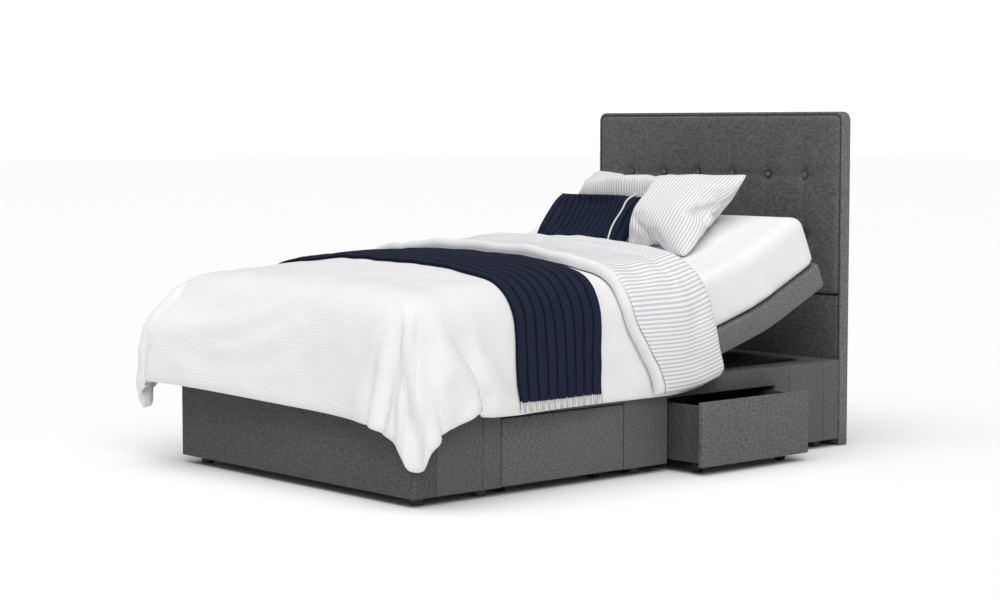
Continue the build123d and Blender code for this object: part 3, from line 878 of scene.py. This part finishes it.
def make_band(name, start, stop, bend, nodes, foot_end=False, head_end=False):
    """Upholstered edge of the deck, which bends with it."""
    section = round_section(BAND_WIDTH, BAND_HIGH - BAND_LOW, 0.008, 3)
    shapes = []
    for side in (None,) if foot_end or head_end else (-1, 1):
        line, outward = band_path(start, stop, foot_end, head_end, side)
        height = np.full(len(line), (BAND_LOW + BAND_HIGH) / 2)
        path = np.column_stack([line, height])
        sideways = np.column_stack([outward, np.zeros(len(line))])
        up = np.tile((0.0, 0.0, 1.0), (len(line), 1))
        shapes.append(sweep(path, section, sideways, up))
    points, faces = joined_shapes(shapes)
    band = piece_from(name, lay_on_deck(points), faces, deck_cloth, cloth=points)
    fitted_out(creased(band, 50), bend, "base_fabric", *nodes)


# Each deck board's section, where it starts and stops along the flat deck, and its body.
BOARDS = (
    ("calf", -0.906, -0.360, "calf_section"),
    ("thigh", -0.340, -0.071, "thigh_section"),
    ("seat", -0.049, 0.136, "base"),
    ("lumbar", 0.163, 0.573, "lumbar_section"),
    ("back", 0.591, 0.868, "back_section"),
)


RAISED = {
    "lumbar_section": (LUMBAR_HINGE[0], LUMBAR_HINGE[1], LUMBAR_PIVOT),
    "back_section": (BACK_HINGE[0], LUMBAR_HINGE[1] + BACK_HINGE[1], BACK_PIVOT),
}


def rigid_tilt(points, body):
    """Flat points moved with one section of the raised deck, which stays flat itself."""
    if body not in RAISED:
        return points
    flat_place, turn, pivot = RAISED[body]
    return tipped(points - (0.0, flat_place, HINGE_HEIGHT), turn, pivot)


def make_deck():
    make_band("deck_band_foot", -0.945, KNEE_CUT, "knee", ("calf_deck",), foot_end=True)
    make_band("deck_band_thigh", KNEE_CUT, FLAP_CUT, "thigh", ("thigh_deck", "seat_deck"))
    make_band("deck_band_seat", FLAP_CUT, SEAT_CUT, "lumbar", ("seat_deck", "lumbar_deck"))
    make_band(
        "deck_band_back", SEAT_CUT, HEAD_END, "back", ("lumbar_deck", "back_deck"), head_end=True
    )
    half = BASE_HALF - BAND_WIDTH - 0.001
    for part, start, stop, body in BOARDS:
        points, faces = block(
            (-half, start, BOARD_LOW), (half, stop, BOARD_HIGH), 0.06, (0.004,) * 3, (0.004,) * 3
        )
        board = piece_from(
            f"deck_board_{part}", rigid_tilt(points, body), faces, board_timber, cloth=points
        )
        fitted_out(board, body, "timber", part + "_deck")


# ---------------------------------------------------------------- the mattress


def sheet_wrinkles(points):
    """Soft upright tucks on the mattress sides and slight waves on its top."""
    x, y, z = points[:, 0], points[:, 1], points[:, 2]
    side = smooth_step(np.abs(x), MATTRESS_HALF - 0.020, MATTRESS_HALF - 0.002)
    end = smooth_step(y, HEAD_END - 0.02, HEAD_END)
    low = 1 - smooth_step(z, 0.40, 0.56)
    around = np.stack([y, x * 0.4, z * 0.22], axis=1)
    tuck = lumps(around, 0.050, 5) * 0.6 + lumps(around, 0.021, 6) * 0.4
    moved = points.copy()
    moved[:, 0] -= np.sign(x) * side * (0.0045 + (0.0100 * low + 0.0025) * tuck)
    moved[:, 1] -= end * (0.002 + 0.004 * tuck)
    top = smooth_step(z, MATTRESS_HIGH - 0.02, MATTRESS_HIGH)
    moved[:, 2] -= top * (0.0015 + 0.0022 * lumps(points * (1, 1, 0), 0.14, 8))
    return moved


def make_mattress():
    lengths = (
        ("mattress_foot", -0.944, KNEE_CUT, "knee", ("mattress_calf", "mattress_thigh")),
        ("mattress_middle", KNEE_CUT, FLAP_CUT, "thigh", ("mattress_thigh", "mattress_seat")),
        ("mattress_waist", FLAP_CUT, SEAT_CUT, "lumbar", ("mattress_seat", "mattress_lumbar")),
        ("mattress_head", SEAT_CUT, HEAD_END, "back", ("mattress_lumbar", "mattress_back")),
    )
    for name, start, stop, bend, nodes in lengths:
        soft_low = (0.050, 0.060 if name == "mattress_foot" else 0.0, 0.030)
        soft_high = (0.050, 0.060 if name == "mattress_head" else 0.0, 0.045)
        points, faces = block(
            (-MATTRESS_HALF, start, MATTRESS_LOW), (MATTRESS_HALF, stop, MATTRESS_HIGH),
            0.014, soft_low, soft_high,
        )
        points = sheet_wrinkles(points)
        piece = piece_from(name, lay_on_deck(points), faces, sheet_cotton, cloth=points)
        fitted_out(creased(piece, 60), bend, "mattress_fabric", *nodes, fill=0.9)


# ---------------------------------------------------------------- the duvet's drape

SHEET_HALF = 0.955
SHEET_FOOT = -1.312
SHEET_HEAD = 0.300
CELL = 0.0215
FORM_HALF = 0.592
FORM_FOOT = -0.952
FORM_SOFT = 0.085
STAND_OFF = 0.022
CORNER_LEAN = 0.26
DRAPE_STEPS = 46
DUVET_CLOTH = {
    "quality": 6, "mass": 0.35, "tension_stiffness": 30, "compression_stiffness": 30,
    "shear_stiffness": 12, "bending_stiffness": 0.6, "air_damping": 3.0,
}
# The middle and the reach of each padded stand that holds a fold open.
CORNER_PROPS = (
    (-0.585, -0.965, 0.36, 0.085),
    (-0.600, -0.800, 0.30, 0.028),
    (0.600, -0.900, 0.33, 0.040),
    (0.615, -0.760, 0.30, 0.024),
    (0.440, -0.955, 0.30, 0.026),
)


def crown(x, y):
    """How high the filling stands over the mattress, at each place."""
    across = 1 - np.clip(np.abs(x) / FORM_HALF, 0, 1) ** 2.6
    foot = smooth_step(y, FORM_FOOT - 0.02, FORM_FOOT + 0.55)
    return 0.006 + 0.012 * foot + (0.016 + 0.040 * foot) * across


def form_shape():
    """What the duvet hangs over: the mattress and the base under it, raised by the filling."""
    points, faces = block(
        (-FORM_HALF, FORM_FOOT, 0.0), (FORM_HALF, 0.60, MATTRESS_HIGH),
        0.03, (FORM_SOFT, FORM_SOFT, 0.0), (FORM_SOFT, 0.0, FORM_SOFT),
    )
    rise = smooth_step(points[:, 2], 0.40, MATTRESS_HIGH)
    points[:, 2] += rise * crown(points[:, 0], points[:, 1])
    return points, faces


def hung_start(u, v):
    """A first shape for the cloth: flat on the form, straight down its sides, a cone at corners."""
    half, foot = FORM_HALF + STAND_OFF - 0.03, FORM_FOOT - STAND_OFF + 0.03
    over_x = np.clip(np.abs(u) - half, 0, None)
    over_y = np.clip(foot - v, 0, None)
    down = np.hypot(over_x, over_y)
    angle = np.arctan2(over_y, over_x + 1e-9)
    lean = np.sin(2 * angle) ** 2 * down * CORNER_LEAN
    x = np.sign(u) * np.minimum(np.abs(u), half)
    y = np.maximum(v, foot)
    flare = 0.03 * np.tanh(down / 0.06) + lean
    z = MATTRESS_HIGH + STAND_OFF + crown(x, y) + 0.004
    drop = np.sqrt(np.clip(down**2 - lean**2, 0, None))
    soften = np.minimum(drop, 0.05) * 0.35
    return np.stack(
        [x + np.sign(u) * np.cos(angle) * flare, y - np.sin(angle) * flare, z - drop + soften],
        axis=-1,
    )


def draped_cloth():
    """The hung cloth as a grid of points over its flat places u and v."""
    u = np.linspace(-SHEET_HALF, SHEET_HALF, int(2 * SHEET_HALF / CELL) + 1)
    v = np.linspace(SHEET_FOOT, SHEET_HEAD, int((SHEET_HEAD - SHEET_FOOT) / CELL) + 1)
    flat_u, flat_v = np.meshgrid(u, v, indexing="ij")
    start = hung_start(flat_u, flat_v)
    form_points, form_faces = form_shape()
    form = piece_from("drape_form", form_points, form_faces, sheet_cotton, cloth=form_points)
    form.modifiers.new("Collision", "COLLISION")
    form.collision.thickness_outer = STAND_OFF
    form.collision.cloth_friction = 12.0
    props = [form] + [corner_prop(*spot) for spot in CORNER_PROPS]
    cloth = piece_from("drape_cloth", start, grid_faces(len(u), len(v)), sheet_cotton, cloth=start)
    hold = cloth.vertex_groups.new(name="hold")
    kept = np.flatnonzero(((np.abs(flat_u) < 0.40) & (flat_v > -0.80)).ravel())
    hold.add(kept.tolist(), 1.0, "REPLACE")
    sim = as_cloth(cloth, vertex_group_mass="hold", **DUVET_CLOTH)
    sim.collision_settings.distance_min = 0.004
    sim.collision_settings.collision_quality = 3
    points = settled(cloth, sim, DRAPE_STEPS)
    for used in [cloth] + props:
        bpy.data.objects.remove(used)
    return u, v, points.reshape(start.shape)


def corner_prop(x, y, z, reach):
    """A padded stand that holds a fold of the hung cloth open."""
    low, high = (x - reach, y - reach, z - 1.6 * reach), (x + reach, y + reach, z + 1.6 * reach)
    points, faces = block(low, high, reach / 3, (reach,) * 3, (reach,) * 3)
    prop = piece_from("drape_prop", points, faces, sheet_cotton, cloth=points)
    prop.modifiers.new("Collision", "COLLISION")
    prop.collision.thickness_outer = 0.012
    return prop


def as_cloth(obj, **settings):
    """Makes the piece behave as cloth with those settings."""
    sim = obj.modifiers.new("Cloth", "CLOTH")
    for key, value in settings.items():
        setattr(sim.settings, key, value)
    return sim


def settled(obj, sim, steps):
    """Where the piece's points are after that many steps of its cloth."""
    sim.point_cache.frame_end = steps
    for step in range(1, steps + 1):
        bpy.context.scene.frame_set(step)
    mesh = obj.evaluated_get(bpy.context.evaluated_depsgraph_get()).to_mesh()
    points = mesh_points(mesh)
    bpy.context.scene.frame_set(1)
    return points


def mesh_points(mesh):
    points = np.empty(len(mesh.vertices) * 3)
    mesh.vertices.foreach_get("co", points)
    return points.reshape(-1, 3)


def evened(grid, passes):
    """The grid with its small ripples let out, its edges kept."""
    for _ in range(passes):
        inner = (grid[:-2, 1:-1] + grid[2:, 1:-1] + grid[1:-1, :-2] + grid[1:-1, 2:]) / 4
        grid = grid.copy()
        grid[1:-1, 1:-1] = 0.5 * grid[1:-1, 1:-1] + 0.5 * inner
    return grid


class Drape:
    """The hung cloth, read at any flat place along smooth curves between its points."""

    def __init__(self, u, v, grid):
        self.u, self.v, self.grid = u, v, grid

    def weights(self, places, line):
        at = np.clip((places - line[0]) / (line[1] - line[0]), 0, len(line) - 1 - 1e-9)
        base = np.floor(at).astype(int)
        t = at - base
        spread = (
            -0.5 * t + t**2 - 0.5 * t**3,
            1 - 2.5 * t**2 + 1.5 * t**3,
            0.5 * t + 2 * t**2 - 1.5 * t**3,
            -0.5 * t**2 + 0.5 * t**3,
        )
        return [np.clip(base + k - 1, 0, len(line) - 1) for k in range(4)], spread

    def at(self, u, v):
        """The points at flat places u and v, two arrays of one shape."""
        rows, row_weights = self.weights(u, self.u)
        columns, column_weights = self.weights(v, self.v)
        points = np.zeros(u.shape + (3,))
        for row, row_weight in zip(rows, row_weights):
            for column, column_weight in zip(columns, column_weights):
                points += self.grid[row, column] * (row_weight * column_weight)[..., None]
        return points

    def outward(self, u, v):
        """The direction that faces away from the bed at those places."""
        step = 0.012
        side = self.at(u + step, v) - self.at(u - step, v)
        ahead = self.at(u, v + step) - self.at(u, v - step)
        normal = np.cross(side, ahead)
        return normal / np.maximum(np.linalg.norm(normal, axis=-1), 1e-9)[..., None]


def rounding(away, width):
    """The share of a quilt's thickness at that distance from a hem, for a rounded hem."""
    near = np.clip(away / width, 0, 1)
    return np.sqrt(np.clip(1 - (1 - near) ** 2, 0, 1))


def padded_shell(name, drape, u, v, outer, inner, finishes, shade=None, under_shade=None):
    """A closed quilt over flat places u and v of the draped cloth, from inner to outer offset."""
    surface, normal = drape.at(u, v), drape.outward(u, v)
    top = surface + normal * outer[..., None]
    under = surface + normal * inner[..., None]
    rows, columns = u.shape
    count = rows * columns
    faces = grid_faces(rows, columns) + grid_faces(rows, columns, count, flip=True)
    index = np.arange(count).reshape(rows, columns)
    rim = np.concatenate([index[:, 0], index[-1, 1:], index[-2::-1, -1], index[0, -2:0:-1]])
    after = np.roll(rim, -1)
    faces += np.stack([rim, rim + count, after + count, after], axis=1).tolist()
    flat = np.stack([u, v, 0 * u], axis=-1)
    if shade is None:
        shade = np.zeros((rows - 1, columns - 1), int)
        under_shade = np.ones_like(shade)
    shades = np.concatenate([shade.ravel(), under_shade.ravel(), np.zeros(len(rim), int)])
    points = np.concatenate([top.reshape(-1, 3), under.reshape(-1, 3)])
    cloth = np.concatenate([flat.reshape(-1, 3)] * 2)
    shell = piece_from(name, lay_on_deck(points), faces, finishes, cloth=cloth, shades=shades)
    return creased(shell, 60)


FOLD_UNDER = 0.262
DUVET_OUT = 0.016
DUVET_IN = 0.012
HEM = 0.030
ACROSS_STEP = 0.0125


def across_places(half, step=ACROSS_STEP, hem=0.0):
    """Places over the width, closer at the hems."""
    places = np.linspace(-half, half, int(2 * half / step) + 1)
    if hem:
        close = hem * (1 - np.sin(np.linspace(0, math.pi / 2, 6)))
        places = np.concatenate([places, -half + close, half - close])
        far = np.abs(np.abs(places) - half) > hem
        near = np.isin(np.round(np.abs(np.abs(places) - half), 7), np.round(close, 7))
        places = places[far | near]
    return np.unique(np.round(places, 7))


CORNER_TRIM = 0.13
PLEATS_AT_CORNER = 3.5
PLEAT_DEPTH = 0.013


def trimmed(u, v):
    """Flat places of a sheet whose foot corners are cut round."""
    over = np.clip(np.abs(u) - (SHEET_HALF - CORNER_TRIM), 0, None)
    under = np.clip(SHEET_FOOT + CORNER_TRIM - v, 0, None)
    longest, length = np.maximum(over, under), np.maximum(np.hypot(over, under), 1e-9)
    share = np.where(length > 1e-8, longest / length, 1.0)
    return u - np.sign(u) * over * (1 - share), v + under * (1 - share)


def corner_folds(u, v):
    """Upright folds that gather where the duvet hangs at its foot corners."""
    over = np.clip(np.abs(u) - 0.50, 0, None)
    under = np.clip(-0.86 - v, 0, None)
    turn = np.arctan2(under, over + 1e-6) / (math.pi / 2)
    down = smooth_step(np.hypot(over, under), 0.10, 0.42)
    both = np.clip(np.sin(turn * math.pi), 0, 1) ** 0.7
    wander = 0.35 * lumps(np.stack([u, v, 0 * u], axis=-1), 0.22, 51)
    return PLEAT_DEPTH * np.sin(math.tau * (turn * PLEATS_AT_CORNER + wander)) * down * both


def filling(u, v, seed=2):
    """Uneven plumpness of the filling, over the flat places."""
    flat = np.stack([u, v, 0 * u], axis=-1)
    return 0.007 * lumps(flat, 0.20, seed) + 0.003 * lumps(flat, 0.075, seed + 1)


def settled_depth(u, v):
    """How far the filling reaches down from the cloth to rest on the mattress top."""
    return crown(u, v) * (1 - smooth_step(np.abs(u), 0.44, 0.56)) * smooth_step(v, -0.90, -0.75)


def make_duvet(drape):
    lengths = (
        ("duvet_foot", SHEET_FOOT, KNEE_CUT, "knee", ("duvet_calf", "duvet_thigh")),
        ("duvet_middle", KNEE_CUT, FLAP_CUT, "thigh", ("duvet_thigh", "duvet_seat")),
        ("duvet_waist", FLAP_CUT, FOLD_UNDER, "lumbar", ("duvet_seat", "duvet_lumbar")),
    )
    for name, start, stop, bend, nodes in lengths:
        hems = (HEM if name == "duvet_foot" else 0.0, HEM if name == "duvet_waist" else 0.0)
        u, v = np.meshgrid(
            across_places(SHEET_HALF, hem=HEM), stations(start, stop, ACROSS_STEP, *hems),
            indexing="ij",
        )
        soft = rounding(SHEET_HALF - np.abs(u), HEM)
        edge_v = v
        if name == "duvet_foot":
            u, v = trimmed(u, v)
        if hems[0]:
            soft = soft * rounding(edge_v - start, HEM)
        if hems[1]:
            soft = soft * rounding(stop - v, HEM)
        fold = corner_folds(u, v)
        outer = (DUVET_OUT + filling(u, v)) * soft + fold
        inner = fold - (DUVET_IN + settled_depth(u, v)) * soft
        piece = padded_shell(name, drape, u, v, outer, inner, [duvet_cotton, duvet_reverse])
        fitted_out(piece, bend, "duvet_fabric", *nodes, fill=0.5)


FOLD_TIP = 0.296
FLAP_THICK = 0.026
FLAP_GAP = 0.003
ROLL = 0.044
SEAM = 0.0024
FREE_EDGE_TOP = -0.222
FREE_EDGE_HEM = -0.004


def free_edge(u):
    """Where the folded-back flap ends: near the runner on the top, further back on the sides."""
    top = FREE_EDGE_TOP + 0.070 * smooth_step(np.abs(u), 0.34, 0.66)
    return top + (FREE_EDGE_HEM - FREE_EDGE_TOP - 0.070) * smooth_step(np.abs(u), 0.64, 0.96)


def make_flap(drape):
    """The duvet's head end, folded back with its striped side out, in two lengths."""
    half = SHEET_HALF - 0.014
    across = across_places(half, hem=HEM)
    from_edge = np.concatenate([np.linspace(0, ROLL, 11), [ROLL + SEAM]])
    share = np.linspace(0, 1, 15)[1:]
    u, _ = np.meshgrid(across, np.zeros(len(from_edge) + len(share)), indexing="ij")
    start = free_edge(u)
    rolled = start[:, : len(from_edge)] + from_edge
    rest = start[:, : len(share)] + ROLL + SEAM
    rest = rest + (FLAP_CUT - rest) * share
    v = np.hstack([rolled, rest])
    make_flap_length(drape, "duvet_fold_front", u, v, start, half, "thigh")
    along = np.unique(
        np.concatenate([np.linspace(FLAP_CUT, 0.25, 18), np.linspace(0.25, FOLD_TIP, 16)])
    )
    u, v = np.meshgrid(across, along, indexing="ij")
    make_flap_length(drape, "duvet_fold_back", u, v, free_edge(u), half, "lumbar")


def make_flap_length(drape, name, u, v, start, half, bend):
    soft = rounding(half - np.abs(u), HEM)
    soft = soft * rounding(v - start, 0.016) * rounding(FOLD_TIP - v, 0.026)
    puff = filling(u, v)
    turn = smooth_step(v, FOLD_UNDER, FOLD_UNDER + 0.014)
    roll = 0.012 * np.exp(-(((v - start - 0.018) / 0.017) ** 2))
    valley = 0.008 * np.exp(-(((v - start - ROLL) / 0.006) ** 2))
    crumple = 0.006 * lumps(np.stack([u * 0.5, v, 0 * u], axis=-1), 0.09, 41)
    inner = (DUVET_OUT + FLAP_GAP + puff) * (1 - turn)
    inner -= (DUVET_IN + FLAP_GAP + settled_depth(u, v)) * turn
    outer = DUVET_OUT + FLAP_GAP + FLAP_THICK + puff * 1.6 + roll - valley + crumple
    middle, thick = (outer + inner) / 2, (outer - inner) / 2
    from_edge = (v - start)[:-1, :-1]
    in_roll = from_edge < ROLL - SEAM / 2
    # Faces just past the roll take the dark seam weave, a painted shadow line along the seam.
    shade = np.where(in_roll, 0, np.where(from_edge < ROLL + SEAM / 2, 2, 1))
    flap = padded_shell(
        name, drape, u, v, middle + thick * soft, middle - thick * soft,
        [roll_cotton, duvet_reverse, seam_painted_shadow], shade, np.where(in_roll, 0, 1),
    )
    fitted_out(flap, bend, "duvet_fabric", fill=0.5)


RUNNER_LIFT = 0.004
RUNNER_THICK = 0.0045
RUNNER_RIB = 0.0034
TRIM_PLEAT = 0.0125


def make_runner(drape):
    """The navy runner across the bed, pleated along its length, with pleated trim on its ends."""
    half = SHEET_HALF - 0.034
    along = np.linspace(RUNNER_START, RUNNER_STOP, RUNNER_RIBS * 12 + 1)
    u, v = np.meshgrid(across_places(half, 0.010), along, indexing="ij")
    pleat = (v - RUNNER_START) / RUNNER_WIDTH * RUNNER_RIBS
    rib = RUNNER_RIB * np.abs(np.sin(math.pi * pleat)) ** 0.45
    flat = np.stack([u, v, 0 * u], axis=-1)
    lift = DUVET_OUT + RUNNER_LIFT + filling(u, v) + rib + 0.0015 * lumps(flat, 0.06, 11)
    ends = rounding(np.minimum(v - RUNNER_START, RUNNER_STOP - v), 0.004)
    runner = padded_shell(
        "bed_runner", drape, u, v, lift + RUNNER_THICK * ends, lift, [runner_velvet, runner_velvet]
    )
    fitted_out(runner, "knee", "runner_fabric", "runner_lower", "runner_upper")

    for side in (-1, 1):
        ends = np.linspace(half - 0.004, half + 0.028, 8)
        u, v = np.meshgrid(ends if side > 0 else -ends[::-1], along, indexing="ij")
        hang = np.clip((np.abs(u) - half) / 0.026, 0, 1)
        sway = 2.0 * lumps(np.stack([0 * u, v, 0 * u], axis=-1), 0.03, 13)
        pleat = 0.0026 * np.sin(math.tau * v / TRIM_PLEAT + sway) * hang
        lift = DUVET_OUT + RUNNER_LIFT + filling(u, v) + 0.002 + pleat
        trim = padded_shell(
            f"runner_trim_{'left' if side < 0 else 'right'}", drape, u, v, lift + 0.003, lift,
            [trim_cotton, trim_cotton],
        )
        fitted_out(trim, "knee", "runner_fabric")


# ---------------------------------------------------------------- pillow and cushion


def pad_start(width, length, tip, step, thick):
    """Two layers sewn round their edge, with corners drawn out a little, as a flat pad."""
    columns, rows = int(width / step) + 1, int(length / step) + 1
    s, t = np.meshgrid(np.linspace(-1, 1, columns), np.linspace(-1, 1, rows), indexing="ij")
    x = s * width / 2 * (1 - tip * (1 - np.abs(t) ** 3) * np.abs(s) ** 3)
    y = t * length / 2 * (1 - tip * 1.3 * (1 - np.abs(s) ** 3) * np.abs(t) ** 3)
    inside = (1 - s**2) * (1 - t**2)
    z = thick * inside**0.5
    top = np.stack([x, y, z], axis=-1)
    under = np.stack([x, y, -z], axis=-1)
    cloth = np.stack([s * width / 2, t * length / 2, 0 * s], axis=-1)
    points = np.concatenate([top.reshape(-1, 3), under.reshape(-1, 3)])
    faces = grid_faces(columns, rows) + grid_faces(columns, rows, columns * rows, flip=True)
    return points, faces, np.concatenate([cloth.reshape(-1, 3)] * 2)


PAD_CLOTH = {
    "quality": 5, "mass": 0.3, "tension_stiffness": 25, "compression_stiffness": 25,
    "shear_stiffness": 8, "air_damping": 4.0, "use_pressure": True,
}


def plumped(name, finish, start, steps, pressure, bending):
    """A pad blown up by cloth pressure, as its own piece at the origin."""
    points, faces, cloth = pad_start(*start)
    pad = piece_from(name, points, faces, finish, cloth=cloth)
    sim = as_cloth(
        pad, bending_stiffness=bending, uniform_pressure_force=pressure, **PAD_CLOTH
    )
    sim.settings.effector_weights.gravity = 0
    points = settled(pad, sim, steps)
    pad.modifiers.clear()
    set_points(pad, points)
    return pad


def set_points(pad, points):
    pad.data.vertices.foreach_set("co", points.ravel())
    pad.data.update()


def fitted(points, size):
    """Points scaled to fill a box of that size about the origin."""
    low, high = points.min(0), points.max(0)
    return (points - (low + high) / 2) * (np.array(size) / (high - low))


def on_back(points, slope, x, along, above):
    """Points of a pad at that slope and place, given by x, along and above the back section."""
    return tipped(points, math.radians(slope), (along, above)) + (x, 0.0, 0.0)


def from_back(points):
    """Points given by x, along and above the back section, where it is raised to."""
    return tipped(points, LUMBAR_HINGE[1] + BACK_HINGE[1], BACK_PIVOT)


MATTRESS_RISE = MATTRESS_HIGH - HINGE_HEIGHT
CUSHION_SLOPE = 26.0
CUSHION_SIZE = (0.440, 0.240, 0.080)
CUSHION_AT = (-0.180, 0.066, 0.292)
CUSHION_HALF_THICK = 0.042
PILLOW_SLOPE = 15.8
PILLOW_SIZE = (0.745, 0.415, 0.205)
PILLOW_AT = (0.0, 0.143, 0.296)


def make_pillow():
    start = (0.80, 0.50, -0.06, 0.0125, 0.020)
    pad = plumped("pillow_soft", pillow_cotton, start, 22, 4.0, 0.5)
    points = fitted(mesh_points(pad.data), PILLOW_SIZE)
    points[:, 2] += 0.006 * lumps(points * (1.0, 1.0, 0.3), 0.11, 21)
    points[:, 2] += 0.003 * lumps(points * (1.0, 0.5, 0.3), 0.040, 22)
    points = on_back(points, PILLOW_SLOPE, *PILLOW_AT)
    floor = MATTRESS_RISE + 0.003
    low = points[:, 2] < floor + 0.02
    points[low, 2] = floor + 0.02 * np.exp((points[low, 2] - floor - 0.02) / 0.02)
    turn = math.radians(CUSHION_SLOPE)
    _, along, above = CUSHION_AT
    back_face = above - CUSHION_HALF_THICK / math.cos(turn)
    back_face = back_face + (points[:, 1] - along) * math.tan(turn)
    under = smooth_step(points[:, 0], -0.43, -0.36) * (1 - smooth_step(points[:, 0], 0.03, 0.10))
    reach = 1 - smooth_step(points[:, 1], 0.12, 0.19)
    dent = np.clip(points[:, 2] - back_face, 0, None) * under * reach
    points[:, 2] = np.maximum(points[:, 2] - dent, floor)
    set_points(pad, from_back(points))
    made_finer(pad)
    fitted_out(pad, "back_section", "pillow_fabric", "pillow", fill=0.8)


def make_cushion():
    """The navy lumbar cushion: pleats from bottom to top, a piped line and a plain end."""
    start = (0.44, 0.25, 0.03, 0.0062, 0.018)
    pad = plumped("cushion_pleated", cushion_velvet, start, 16, 3.0, 1.0)
    points = fitted(mesh_points(pad.data), CUSHION_SIZE)
    x, z = points[:, 0].copy(), points[:, 2]
    face = smooth_step(z, 0.006, 0.020)
    phase = (x - CUSHION_SEWN) / CUSHION_PLEAT
    valley = np.abs(np.sin(math.pi * phase)) ** 0.4
    pleated = 1 - smooth_step(x, PIPING_AT - 0.004, PIPING_AT + 0.004)
    points[:, 2] -= face * pleated * 0.0045 * (1 - valley)
    points[:, 2] -= face * 0.003 * np.exp(-(((x - PIPING_AT) / 0.006) ** 2))
    points[:, 2] += 0.003 * lumps(points * (1, 1, 0.2), 0.06, 31)
    line_y = np.linspace(-CUSHION_SIZE[1] / 2 + 0.004, CUSHION_SIZE[1] / 2 - 0.004, 40)
    top = points[z > 0]
    heights = []
    for y in line_y:
        away = np.hypot(top[:, 0] - PIPING_AT, top[:, 1] - y)
        near = np.argsort(away)[:6]
        heights.append(top[near, 2].max())
    heights = np.convolve(np.pad(heights, 2, mode="edge"), np.ones(5) / 5, mode="valid")
    set_points(pad, from_back(on_back(points, CUSHION_SLOPE, *CUSHION_AT)))
    made_finer(pad)
    path = np.stack(
        [PIPING_AT + 0.0025 * np.sin(line_y * 60), line_y, heights + 0.001], axis=1
    )
    ahead = np.gradient(path, axis=0)
    ahead /= np.linalg.norm(ahead, axis=1)[:, None]
    sideways = np.tile((1.0, 0.0, 0.0), (len(path), 1))
    shape, faces = sweep(path, ring_section(0.0032), sideways, np.cross(ahead, sideways))
    piping = piece_from(
        "cushion_piping", from_back(on_back(shape, CUSHION_SLOPE, *CUSHION_AT)),
        faces, piping_cotton, cloth=shape,
    )
    fitted_out(pad, "back_section", "cushion_fabric", "cushion", fill=0.8)
    fitted_out(piping, "back_section", "cushion_fabric")


# ---------------------------------------------------------------- floor, light and camera


# Each lamp's place, its strength and the angle over which it spreads.
LAMPS = {
    "key": ((3.6, -2.0, 3.4), 1.30, 35),
    "overhead": ((0.0, -0.9, 3.0), 1.54, 60),
}
ROOM_GLOW = 0.30
BACKDROP = 1.1
FLOOR_HALF = 60
CAMERA_PLACE = (5.404, -4.893, 1.096)
CAMERA_DOWN = 4.519
CAMERA_TURN = 48.33
CAMERA_LENS = 78.64


def make_studio():
    scene = bpy.context.scene
    scene.view_settings.view_transform = "Standard"
    scene.world = bpy.data.worlds.new("studio")
    room = Nodes(scene.world)
    background = room.tree.nodes["Background"]
    room.feed(background.inputs["Color"], tone(1.0))
    seen = room.node("LightPath", output="Is Camera Ray")
    strength = room.node("MapRange", {}, {"Value": seen, "To Min": ROOM_GLOW, "To Max": BACKDROP})
    room.feed(background.inputs["Strength"], strength)

    for name, (place, strength, spread) in LAMPS.items():
        light = bpy.data.lights.new(name, "SUN")
        light.energy = strength
        light.angle = math.radians(spread)
        added(name, light).rotation_euler = (-Vector(place)).to_track_quat("-Z", "Y").to_euler()

    floor = piece_from(
        "studio_floor",
        [(x * FLOOR_HALF, y * FLOOR_HALF, 0) for x, y in ((-1, -1), (1, -1), (1, 1), (-1, 1))],
        [(0, 1, 2, 3)],
        Finish("studio_floor_white", "TexCoord").paint(tone(0.99), 0.9),
    )

    camera = added("camera", bpy.data.cameras.new("camera"))
    camera.location = CAMERA_PLACE
    camera.rotation_euler = (math.radians(90 - CAMERA_DOWN), 0.0, math.radians(CAMERA_TURN))
    camera.data.lens = CAMERA_LENS
    camera.data.sensor_width = 36.0
    scene.camera = camera


make_studio()
carried_over()
make_headboard()
make_base()
make_deck()
make_mattress()
cloth_u, cloth_v, hung = draped_cloth()
duvet_drape = Drape(cloth_u, cloth_v, evened(hung, 2))
make_duvet(duvet_drape)
make_flap(duvet_drape)
make_runner(duvet_drape)
make_pillow()
make_cushion()
